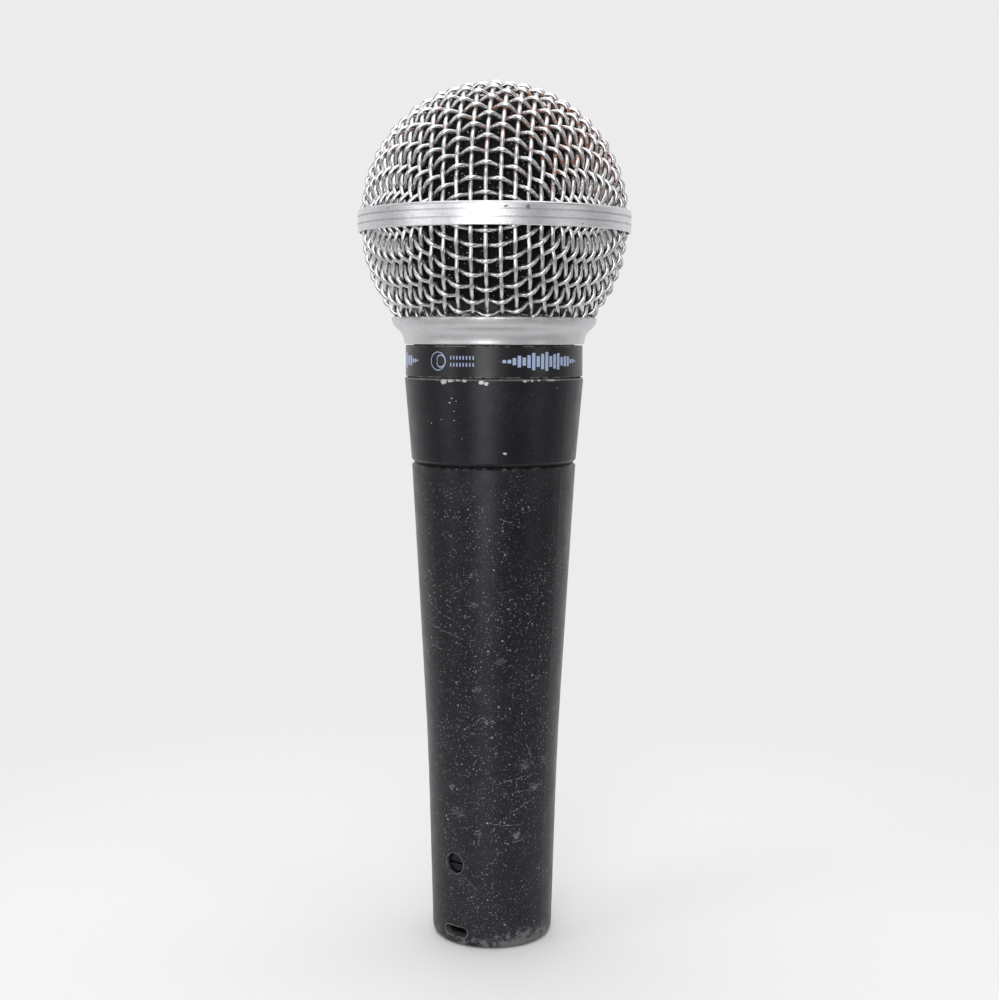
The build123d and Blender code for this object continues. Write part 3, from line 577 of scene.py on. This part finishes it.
def band_aluminium():
    """Satin aluminium with a tight grain, dark specks and two nicks on the camera's side."""
    surface = Surface("band_satin", (0.76, 0.765, 0.785), metallic=1.0)
    _, across, _ = surface.unrolled()
    grain = surface.noise(0.16, detail=3.0, roughness=0.7)
    surface.roughness = surface.ramp(grain, 0.3, 0.7, 0.30, 0.46)
    surface.cover(surface.ramp(grain, 0.62, 0.34), (0.56, 0.56, 0.585))
    dull = surface.ramp(surface.noise(5.0, detail=5.0, roughness=0.65), 0.44, 0.68)
    surface.cover(surface.product(dull, 0.5), (0.60, 0.60, 0.61), 0.48)
    streak = surface.noise(0.5, detail=4.0, roughness=0.7, at=surface.stretched(0.22, 0.22, 1.0))
    surface.cover(surface.product(surface.ramp(streak, 0.52, 0.66), 0.45), (0.50, 0.50, 0.51), 0.42)
    # Painted shade: a darker line along each groove, broken up by noise.
    for groove_z in BAND_GROOVES:
        off_groove = surface.absolute(surface.minus(surface.z, groove_z))
        groove_shade_breaks = surface.ramp(surface.noise(2.2, detail=3.0), 0.3, 0.6, 0.55, 1.0)
        painted_groove_shade = surface.product(surface.ramp(off_groove, 0.18, 0.08), groove_shade_breaks, 0.6)
        surface.cover(painted_groove_shade, (0.36, 0.36, 0.365), 0.5)
    dirt = surface.either(speckle(surface, 1.7, 0.14, 0.10), speckle(surface, 0.7, 0.06, 0.12))
    surface.cover(surface.product(dirt, 0.75), (0.07, 0.065, 0.06), 0.7, 0.2)
    ragged = surface.product(surface.minus(surface.noise(0.35, detail=3.0), 0.5), 0.7)
    for middle, height, size in BAND_NICKS:
        off = surface.total(surface.off_spot(across, middle, height, 1.5), ragged)
        nick = surface.ramp(off, size, size * 0.6)
        surface.cover(surface.product(nick, 0.8), (0.12, 0.11, 0.10), 0.6, 0.5)
        surface.relief(nick, -0.12)
    surface.relief(grain, 0.022)
    return surface.done()


def collar_silver():
    """Satin silver paint over the collar's cove."""
    surface = Surface("collar_paint", (0.645, 0.65, 0.66), 0.40, 0.72)
    flake = surface.noise(0.12, detail=2.0)
    surface.cover(surface.ramp(flake, 0.60, 0.40), (0.53, 0.535, 0.545))
    smear = surface.ramp(surface.noise(4.5, detail=5.0, roughness=0.6), 0.45, 0.7)
    surface.cover(surface.product(smear, 0.35), (0.44, 0.44, 0.44), 0.55)
    lip = surface.ramp(surface.z, 117.95, 118.5)
    patchy = surface.ramp(surface.noise(1.4, detail=4.0), 0.46, 0.6)
    surface.cover(surface.product(lip, patchy, 0.6), (0.33, 0.33, 0.33), 0.5)
    dirt = speckle(surface, 1.1, 0.10, 0.10)
    surface.cover(surface.product(dirt, 0.6), (0.12, 0.11, 0.10), 0.7, 0.1)
    surface.relief(flake, 0.006)
    return surface.done()


def mesh_steel(name, centre_mm, middle_mm):
    """Plated wire: bright on the crowns, darker below them with painted shade, patchy with tarnish,
    and with rust in the dome where wires cross.
    """
    surface = Surface(name, (0.71, 0.71, 0.725), metallic=1.0)
    depth = surface.minus(surface.vector("DISTANCE", surface.mm, centre_mm), middle_mm)
    tarnish = surface.noise(1.4, detail=5.0, roughness=0.65)
    surface.roughness = surface.ramp(tarnish, 0.3, 0.7, 0.23, 0.36)
    surface.cover(surface.product(surface.ramp(tarnish, 0.42, 0.66), 0.8), (0.57, 0.565, 0.565))
    # Painted shade: darker on the wires' inner side, towards the ball's centre, patchy with
    # tarnish.
    grime_and_shade = surface.product(
        surface.ramp(depth, 0.15, -0.55), surface.ramp(tarnish, 0.32, 0.6, 0.4, 1.0))
    surface.cover(surface.product(grime_and_shade, 0.7), (0.21, 0.20, 0.19), 0.5, 0.7)
    joint = surface.ramp(surface.absolute(surface.minus(depth, 0.05)), 0.55, 0.15)
    rightward = surface.vector("DOT_PRODUCT", surface.mm, TO_RIGHT)
    sheltered = surface.total(
        surface.ramp(rightward, -24.0, 22.0, -0.03, 0.055),
        surface.ramp(surface.z, 130.0, 150.0, -0.09, 0.03),
    )
    rust = surface.total(surface.noise(1.0, detail=5.0, roughness=0.7), sheltered)
    stained = surface.product(surface.ramp(rust, 0.575, 0.63), joint, 0.95)
    surface.cover(stained, (0.32, 0.10, 0.03), 0.8, 0.1)
    crusted = surface.product(surface.ramp(rust, 0.68, 0.72), 0.8)
    surface.cover(crusted, (0.20, 0.07, 0.025), 0.85, 0.05)
    surface.relief(surface.noise(0.12, detail=2.0), 0.004)
    return surface.done()


def open_cell_foam():
    """Black foam: pores with thin walls, and pale specks painted on as glints where the walls would
    catch the light.
    """
    surface = Surface("open_cell_foam", (0.0075, 0.0075, 0.0085), 0.95, specular=0.15)
    wall, _ = surface.cells(0.42, feature="DISTANCE_TO_EDGE")
    pore = surface.ramp(wall, 0.02, 0.22)
    surface.cover(surface.ramp(wall, 0.10, 0.02), (0.022, 0.022, 0.024), 0.8)
    # Painted glints: pale blue-grey specks standing in for light caught on pore walls.
    surface.cover(speckle(surface, 0.55, 0.15, 0.7), (0.50, 0.54, 0.62), 0.4)
    surface.relief(pore, -0.25)
    return surface.done()


# ------------------------------------------------------------------ finishes inside

def moulded_plastic(name, colour, roughness=0.45):
    surface = grained(name, colour, roughness, grain=0.14, depth=0.01, mottle=0.2)
    surface.cover(surface.product(speckle(surface, 1.2, 0.05, 0.15), 0.3), (0.25, 0.25, 0.24), 0.7)
    return surface.done()


def turned_metal(name, colour, roughness):
    """Lathe-turned: fine rings round the axis, with handling marks."""
    surface = grained(name, colour, roughness, 1.0, grain=0.4, depth=0.004, mottle=0.12)
    _, _, radius = surface.unrolled()
    inputs = {"X": surface.product(radius, 9.0), "Z": surface.product(surface.z, 9.0)}
    lay = surface.node("ShaderNodeCombineXYZ", **inputs)
    rings = surface.noise(1.0, detail=3.0, at=lay.outputs[0])
    surface.relief(rings, 0.012)
    surface.cover(surface.ramp(rings, 0.64, 0.46), tuple(c * 0.8 for c in colour))
    marks = surface.noise(0.5, detail=4.0, at=surface.stretched(0.3, 1.0, 1.0))
    marks = surface.product(surface.ramp(marks, 0.62, 0.72), 0.4)
    surface.cover(marks, tuple(c * 0.55 for c in colour), 0.5)
    return surface.done()


def brushed_strip(name, colour, roughness, tint):
    """Sheet metal with a lay along the axis and spots of tint, where the plating has worn."""
    surface = grained(name, colour, roughness, 1.0, grain=0.5, depth=0.004, mottle=0.1)
    lay = surface.noise(0.12, detail=3.0, at=surface.stretched(1.0, 1.0, 0.06))
    surface.relief(lay, 0.01)
    spots = surface.ramp(surface.noise(1.6, detail=4.0), 0.56, 0.72)
    surface.cover(surface.product(spots, 0.6), tint, 0.5)
    return surface.done()


def laminations():
    """Stacked sheets of core steel, with dark varnish between them."""
    surface = grained("core_laminations", (0.30, 0.30, 0.32), 0.42, 0.9, grain=0.3, depth=0.006)
    place = surface.wrapped(surface.y, 0.35)
    seam = surface.ramp(surface.absolute(surface.minus(place, 0.5)), 0.40, 0.48)
    surface.cover(surface.product(seam, 0.85), (0.05, 0.045, 0.04), 0.6, 0.2)
    rust = surface.ramp(surface.noise(1.5, detail=5.0), 0.60, 0.72)
    surface.cover(rust, (0.22, 0.12, 0.07), 0.8, 0.2)
    surface.relief(seam, -0.04)
    return surface.done()


def winding_tape():
    """Yellow film tape in overlapping turns round the coil."""
    surface = grained("coil_tape", (0.62, 0.42, 0.07), 0.3, grain=0.6, depth=0.01, coat=0.25)
    height = surface.total(surface.z, surface.product(surface.noise(3.0), 0.5))
    step = surface.wrapped(height, 2.7)
    surface.relief(step, 0.06)
    surface.cover(surface.ramp(step, 0.94, 0.99), (0.34, 0.21, 0.03), 0.45)
    stains = surface.ramp(surface.noise(0.9, detail=4.0), 0.58, 0.70)
    surface.cover(surface.product(stains, 0.5), (0.46, 0.28, 0.05))
    return surface.done()


def potting_wax():
    """Poured wax: cloudy, with bubbles and a skin that has slumped."""
    surface = grained("potting_wax", (0.60, 0.55, 0.40), 0.38, grain=0.8, depth=0.05, mottle=0.25)
    bubbles = speckle(surface, 1.5, 0.28, 0.35)
    surface.cover(bubbles, (0.38, 0.33, 0.20), 0.3)
    surface.relief(bubbles, -0.12)
    surface.relief(surface.noise(3.2, detail=2.0), 0.25)
    return surface.done()


def lead_insulation(name, colour):
    surface = grained(name, colour, 0.35, grain=0.25, depth=0.01, mottle=0.25)
    grime_and_shade = surface.ramp(surface.noise(0.7, detail=3.0), 0.60, 0.72)
    surface.cover(grime_and_shade, tuple(c * 0.45 for c in colour), 0.6)
    return surface.done()


def shock_rubber():
    """Moulded rubber with bloom and lint."""
    black = (0.022, 0.021, 0.021)
    surface = grained(
        "moulded_rubber", black, 0.72, grain=0.18, depth=0.02, mottle=0.2, specular=0.3)
    bloom = surface.ramp(surface.noise(2.4, detail=5.0, roughness=0.65), 0.50, 0.72)
    surface.cover(surface.product(bloom, 0.5), (0.07, 0.07, 0.068), 0.9)
    surface.cover(speckle(surface, 1.0, 0.06, 0.25), (0.22, 0.21, 0.20), 0.9)
    return surface.done()


def felt():
    """Pressed wool: short fibres lying every way."""
    surface = Surface("pressed_felt", (0.36, 0.35, 0.32), 0.95, specular=0.1)
    one = surface.noise(0.09, detail=4.0, at=surface.stretched(1.0, 0.2, 0.6), distortion=1.5)
    two = surface.noise(0.09, detail=4.0, at=surface.stretched(0.2, 1.0, 0.5), distortion=1.5)
    fibres = surface.either(one, two)
    surface.cover(surface.ramp(fibres, 0.50, 0.68), (0.58, 0.57, 0.53))
    surface.cover(surface.ramp(surface.noise(1.8), 0.55, 0.75), (0.24, 0.235, 0.22))
    surface.relief(fibres, 0.12)
    return surface.done()


def terminal_board():
    """Brown paper laminate, with fibres and spilt flux."""
    brown = (0.23, 0.105, 0.04)
    surface = grained("paper_laminate", brown, 0.36, grain=0.4, depth=0.01, mottle=0.3)
    fibres = surface.noise(0.2, detail=4.0, at=surface.stretched(0.25, 1.0, 1.0))
    surface.cover(surface.ramp(fibres, 0.55, 0.70), (0.33, 0.17, 0.07))
    flux = surface.ramp(surface.noise(1.5, detail=3.0), 0.58, 0.66)
    surface.cover(surface.product(flux, 0.6), (0.20, 0.12, 0.03), 0.15)
    surface.relief(fibres, 0.02)
    return surface.done()


def acoustic_cloth():
    """Fine black silk, plain weave."""
    surface = Surface("silk_screen", (0.035, 0.034, 0.036), 0.8, specular=0.25)
    pitch = 0.28
    over = surface.math("SINE", surface.product(surface.x, 2 * pi / pitch))
    under = surface.math("SINE", surface.product(surface.y, 2 * pi / pitch))
    threads = surface.absolute(surface.product(over, under))
    surface.cover(surface.ramp(threads, 0.25, 0.75), (0.10, 0.098, 0.10), 0.65)
    surface.cover(surface.ramp(surface.noise(1.0, detail=4.0), 0.62, 0.74), (0.15, 0.145, 0.14))
    surface.relief(threads, 0.05)
    return surface.done()


def magnet_alloy():
    """Sand-cast magnet: coarse grain and a few pits."""
    grey = (0.27, 0.265, 0.26)
    surface = grained("cast_magnet", grey, 0.55, 0.85, grain=0.3, depth=0.06, mottle=0.3)
    pits = speckle(surface, 0.9, 0.16, 0.3)
    surface.cover(pits, (0.09, 0.085, 0.08), 0.8, 0.3)
    surface.relief(pits, -0.1)
    return surface.done()


def diaphragm_film():
    """Clear polyester film, with pressed ribs between the dome and the seat."""
    surface = grained(
        "polyester_film", (0.58, 0.57, 0.52), 0.2, grain=0.9, depth=0.006, mottle=0.12, coat=0.4)
    surface.shader.inputs["Transmission Weight"].default_value = 0.25
    angle, _, radius = surface.unrolled()
    swirl = surface.total(surface.product(angle, 36.0), surface.product(radius, 0.9))
    ribs = surface.math("SINE", swirl)
    ring = surface.product(surface.ramp(radius, 8.7, 9.1), surface.ramp(radius, 11.6, 11.2))
    surface.relief(surface.product(ribs, ring), 0.10)
    haze = surface.ramp(surface.noise(1.3, detail=4.0), 0.58, 0.7)
    surface.cover(surface.product(haze, 0.4), (0.38, 0.36, 0.30), 0.4)
    return surface.done()


def coil_copper():
    """Enamelled copper turns, side by side."""
    copper = (0.60, 0.24, 0.10)
    surface = grained("coil_turns", copper, 0.26, 0.9, grain=0.3, depth=0.004, mottle=0.2)
    turns = surface.math("SINE", surface.product(surface.z, 2 * pi / 0.09))
    surface.cover(surface.ramp(turns, -0.2, -0.9), (0.25, 0.07, 0.025), 0.45)
    surface.relief(turns, 0.02)
    return surface.done()


# ------------------------------------------------------------------ the woven grille

WIRE_R_mm = 0.41
WEAVE_PITCH_mm = 2.6
NET_STEPS = 8                     # net lines to each pitch
STRAIGHT_CRIMP_mm = 0.20          # of the wires that run up and down on the camera's side
WAVY_CRIMP_mm = 0.62              # of those that run across
WIRE_SIDES = 8
SHORTEST_WIRE = 4                 # net lines


def draped_net(radius_mm, step_mm, count):
    """One quarter of a square net laid over a ball from its pole, as unit vectors.

    Each knot keeps its distance from its neighbours, so it is the mirror image of the knot
    across the mesh in the line between the other two.
    """
    net = np.zeros((count + 1, count + 1, 3))
    angle = np.arange(count + 1) * 2 * asin(step_mm / (2 * radius_mm))
    net[:, 0] = np.stack([np.sin(angle), 0 * angle, np.cos(angle)], 1)
    net[0, :] = np.stack([0 * angle, np.sin(angle), np.cos(angle)], 1)
    near = 1 - (step_mm / radius_mm) ** 2 / 2
    for total in range(2, 2 * count + 1):
        i = np.arange(max(1, total - count), min(count, total - 1) + 1)
        j = total - i
        first, second, behind = net[i - 1, j], net[i, j - 1], net[i - 1, j - 1]
        spread = (first * second).sum(1, keepdims=True)
        net[i, j] = 2 * near * (first + second) / (1 + spread) - behind
    return net


def on_net(net, along, across):
    """Unit vectors at fractional steps along one family of the net and across it."""
    i, j = np.abs(along), np.abs(across)
    i0 = np.minimum(i.astype(int), len(net) - 2)
    j0 = np.minimum(j.astype(int), len(net) - 2)
    u, v = (i - i0)[:, None], (j - j0)[:, None]
    point = (
        (1 - u) * (1 - v) * net[i0, j0] + u * (1 - v) * net[i0 + 1, j0]
        + (1 - u) * v * net[i0, j0 + 1] + u * v * net[i0 + 1, j0 + 1]
    )
    point[:, 0] *= np.where(along < 0, -1, 1)
    point[:, 1] *= np.where(across < 0, -1, 1)
    return point / np.linalg.norm(point, axis=1, keepdims=True)


def runs(kept):
    """First and last index of each unbroken stretch of True."""
    edges = np.flatnonzero(np.diff(np.concatenate([[0], kept.astype(int), [0]])))
    return [(a, b - 1) for a, b in zip(edges[::2], edges[1::2])]


def add_tube(verts, faces, line, outward):
    """A closed round tube along a line, its section turned to face outward."""
    ahead = np.gradient(line, axis=0)
    ahead /= np.linalg.norm(ahead, axis=1, keepdims=True)
    normal = outward - (outward * ahead).sum(1, keepdims=True) * ahead
    normal /= np.linalg.norm(normal, axis=1, keepdims=True)
    side = np.cross(ahead, normal)
    first = sum(len(v) for v in verts)
    turn = 2 * pi * np.arange(WIRE_SIDES) / WIRE_SIDES
    rings = line[:, None] + WIRE_R_mm * (
        np.cos(turn)[None, :, None] * normal[:, None] + np.sin(turn)[None, :, None] * side[:, None]
    )
    verts.append(rings.reshape(-1, 3))
    index = first + np.arange(len(line) * WIRE_SIDES).reshape(len(line), WIRE_SIDES)
    beside = np.roll(index, -1, axis=1)
    quads = np.stack([index[:-1], beside[:-1], beside[1:], index[1:]], -1).reshape(-1, 4)
    faces.extend(quads.tolist())
    faces.append(index[0, ::-1].tolist())
    faces.append(index[-1].tolist())


def woven_shell(name, radius_mm, centre_z_mm, pole, turn, offsets, low_mm, high_mm, body, node):
    """Half of the ball grille: two families of crimped wires over a ball, between two heights.

    pole is 1 where the net starts at the top and -1 where it starts at the bottom. turn is how far
    the net's middle line lies to the right of the camera's side. offsets are how far, in pitches,
    wire 0 of each family lies from the net's own middle lines: one pitch more or less swaps over
    and under.
    """
    step = WEAVE_PITCH_mm / NET_STEPS
    count = int(1.02 * radius_mm * pi / 2 / step) + 2
    net = draped_net(radius_mm, step, count)
    front = TO_CAMERA * cos(turn) + TO_RIGHT * sin(turn)
    right = TO_RIGHT * cos(turn) - TO_CAMERA * sin(turn)
    upright = np.array([right, front, UP * pole])
    centre = np.array([0, 0, centre_z_mm])
    verts, faces = [], []
    travel = np.arange(-count, count + 1).astype(float)
    for family in (0, 1):
        own, other = offsets[family], offsets[1 - family]
        crimp = (WAVY_CRIMP_mm, -STRAIGHT_CRIMP_mm)[family]
        for number in range(-count // NET_STEPS, count // NET_STEPS + 1):
            place = np.full(len(travel), (number + own) * NET_STEPS)
            if abs(place[0]) > count:
                continue
            pair = (travel, place) if family == 0 else (place, travel)
            outward = on_net(net, *pair) @ upright
            wave = crimp * (-1) ** number * np.cos(pi * (travel / NET_STEPS - other))
            line = centre + outward * (radius_mm + wave)[:, None]
            height = centre_z_mm + radius_mm * outward[:, 2]
            past_rim = height < low_mm if pole > 0 else height > high_mm
            middle = len(travel) // 2
            if past_rim[middle]:
                continue
            reach = [(a, b) for a, b in runs(~past_rim) if a <= middle <= b][0]
            kept = (height >= low_mm) & (height <= high_mm)
            kept[: reach[0]] = False
            kept[reach[1] + 1:] = False
            for start, stop in runs(kept):
                if stop - start >= SHORTEST_WIRE:
                    add_tube(verts, faces, line[start: stop + 1], outward[start: stop + 1])
    mesh = bpy.data.meshes.new(name)
    mesh.from_pydata((np.concatenate(verts) / 1000).tolist(), [], faces)
    mesh.polygons.foreach_set("use_smooth", [True] * len(mesh.polygons))
    mesh.materials.append(mesh_steel(name + "_wire", (0.0, 0.0, centre_z_mm), radius_mm))
    shell = bpy.data.objects.new(name, mesh)
    bpy.context.scene.collection.objects.link(shell)
    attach(shell, body)
    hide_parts(node)


# ------------------------------------------------------------------ the foam liner

FOAM_COLUMNS, FOAM_ROWS, FOAM_RIM_STEPS = 220, 64, 8
FOAM_THICK_mm = 3.0


def foam_profile(radius_mm, start, stop, pierced):
    """The cup's section, as radius and angle from the pole: out to the rim, round it and back."""
    half_mm = FOAM_THICK_mm / 2
    inner_mm = radius_mm - FOAM_THICK_mm
    falls = [pi * step / FOAM_RIM_STEPS for step in range(1, FOAM_RIM_STEPS)]
    bulge = half_mm / radius_mm
    inside_rows = FOAM_ROWS // 2
    profile = []
    for step in range(FOAM_ROWS + 1):
        profile.append((radius_mm, start + (stop - start) * step / FOAM_ROWS))
    for fall in falls:
        profile.append((inner_mm + half_mm * (1 + cos(fall)), stop + bulge * sin(fall)))
    for step in range(inside_rows + 1):
        profile.append((inner_mm, stop + (start - stop) * step / inside_rows))
    if pierced:
        for fall in falls:
            profile.append((inner_mm + half_mm * (1 - cos(fall)), start - bulge * sin(fall)))
    return profile


def foam_cup(name, radius_mm, centre_z_mm, pole, rim_z_mm, hole_z_mm, node):
    """A soft foam cup behind the weave: lumpy outside and in, with a rounded rim."""
    pierced = hole_z_mm is not None
    stop = pi / 2 - asin((rim_z_mm - centre_z_mm) * pole / radius_mm)
    start = pi / 2 - asin((hole_z_mm - centre_z_mm) * pole / radius_mm) if pierced else 0.0
    profile = foam_profile(radius_mm, start, stop, pierced)
    points, faces = [], []
    for radius, polar in profile:
        for column in range(FOAM_COLUMNS):
            turn = 2 * pi * column / FOAM_COLUMNS
            out = Vector((sin(polar) * cos(turn), sin(polar) * sin(turn), cos(polar) * pole))
            lump = noise.noise(out * 9.0) * 0.16 + noise.noise(out * 31.0) * 0.10
            points.append((out * (radius + lump) + UP * centre_z_mm) / 1000)
    loops = len(profile)
    for row in range(loops if pierced else loops - 1):
        first, after = row * FOAM_COLUMNS, (row + 1) % loops * FOAM_COLUMNS
        for column in range(FOAM_COLUMNS):
            beside = (column + 1) % FOAM_COLUMNS
            quad = [first + column, first + beside, after + beside, after + column]
            faces.append(quad if pole < 0 else quad[::-1])
    mesh = bpy.data.meshes.new(name)
    mesh.from_pydata(points, [], faces)
    mesh.validate()
    mesh.polygons.foreach_set("use_smooth", [True] * len(mesh.polygons))
    mesh.materials.append(bpy.data.materials.get("open_cell_foam") or open_cell_foam())
    cup = bpy.data.objects.new(name, mesh)
    bpy.context.scene.collection.objects.link(cup)
    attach(cup, "foam_liner")
    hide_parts(node)


# ------------------------------------------------------------------ the floor

FLOOR_R = 0.3
FLOOR_SOLID_mm, FLOOR_GONE_mm = 50.0, 210.0


def add_floor():
    """A pale disc that melts into the white room, so that no edge shows from any side."""
    surface = Surface("floor", (0.82, 0.82, 0.82), 0.6, specular=0.2)
    surface.relief(surface.noise(1.2, detail=3.0), 0.02)
    distance = surface.vector("LENGTH", surface.vector("MULTIPLY", surface.mm, (1.0, 1.0, 0.0)))
    material = surface.done()
    tree = material.node_tree
    fade = surface.ramp(distance, FLOOR_SOLID_mm, FLOOR_GONE_mm)
    clear = tree.nodes.new("ShaderNodeBsdfTransparent")
    join = tree.nodes.new("ShaderNodeMixShader")
    surface.put(join.inputs[0], fade)
    surface.put(join.inputs[1], surface.shader.outputs[0])
    surface.put(join.inputs[2], clear.outputs[0])
    surface.put(tree.nodes["Material Output"].inputs["Surface"], join.outputs[0])
    bpy.ops.mesh.primitive_circle_add(vertices=128, radius=FLOOR_R, fill_type="NGON")
    floor = bpy.context.object
    floor.name = "floor"
    floor.location.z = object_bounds()[0].z
    floor.data.materials.append(material)


# ------------------------------------------------------------------ putting it together

def dress(material, *names):
    for name in names:
        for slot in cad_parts[name].material_slots:
            slot.material = material


bpy.context.scene.view_settings.view_transform = "Standard"
add_camera()
add_world()
for softbox in SOFTBOXES:
    add_softbox(*softbox)

woven_shell(
    "grille_dome_weave", radius_mm=24.02, centre_z_mm=137.25, pole=1, turn=radians(-5),
    offsets=(-0.49, 0.20), low_mm=136.5, high_mm=170.0, body="grille", node="grille_dome",
)
woven_shell(
    "grille_bowl_weave", radius_mm=23.87, centre_z_mm=135.05, pole=-1, turn=radians(-4),
    offsets=(-0.18, 0.04), low_mm=118.3, high_mm=136.3, body="grille", node="grille_bowl",
)
foam_cup(
    "foam_upper", radius_mm=22.6, centre_z_mm=136.9, pole=1, rim_z_mm=138.0, hole_z_mm=None,
    node="foam_dome",
)
foam_cup(
    "foam_lower", radius_mm=22.4, centre_z_mm=135.05, pole=-1, rim_z_mm=134.8, hole_z_mm=122.2,
    node="foam_bowl",
)

dress(handle_enamel(), "handle_shell")
dress(barrel_enamel(), "head_barrel")
dress(label_band(), "label_band")
dress(band_aluminium(), "grille_band")
dress(collar_silver(), "grille_collar")
dress(moulded_plastic("insert_plastic", (0.016, 0.016, 0.016)), "xlr_insulator")
dress(
    moulded_plastic("housing_plastic", (0.02, 0.02, 0.021), 0.38),
    "cartridge_housing", "resonator_cap",
)
dress(moulded_plastic("bobbin_nylon", (0.70, 0.68, 0.62), 0.42), "transformer_bobbin")
dress(turned_metal("pin_plating", (0.72, 0.66, 0.50), 0.22), "contact_pins")
dress(brushed_strip("spring_strip", (0.56, 0.56, 0.55), 0.28, (0.42, 0.34, 0.20)), "ground_spring")
dress(turned_metal("blackened_screw", (0.028, 0.030, 0.035), 0.42), "lock_screw")
dress(laminations(), "transformer_core")
dress(winding_tape(), "transformer_winding")
dress(potting_wax(), "transformer_potting")
dress(lead_insulation("insulation_red", (0.42, 0.02, 0.018)), "output_lead_red")
dress(lead_insulation("insulation_black", (0.018, 0.018, 0.018)), "output_lead_black")
dress(lead_insulation("insulation_yellow", (0.60, 0.42, 0.03)), "lead_yellow")
dress(lead_insulation("insulation_green", (0.03, 0.24, 0.06)), "lead_green")
dress(shock_rubber(), "upper_shock_mount", "lower_shock_boot")
dress(turned_metal("chamber_turned", (0.74, 0.74, 0.75), 0.30), "acoustic_chamber")
dress(felt(), "damping_felt")
dress(terminal_board(), "terminal_board")
dress(brushed_strip("tinned_lugs", (0.66, 0.65, 0.60), 0.25, (0.50, 0.36, 0.14)), "solder_lugs")
dress(acoustic_cloth(), "rear_port_screen", "front_screen")
dress(turned_metal("magnet_iron", (0.58, 0.58, 0.57), 0.33), "yoke_cup", "pole_piece", "top_plate")
dress(magnet_alloy(), "magnet")
dress(turned_metal("seat_brass_turned", (0.72, 0.50, 0.22), 0.28), "diaphragm_seat")
dress(diaphragm_film(), "diaphragm")
dress(coil_copper(), "voice_coil")

add_floor()
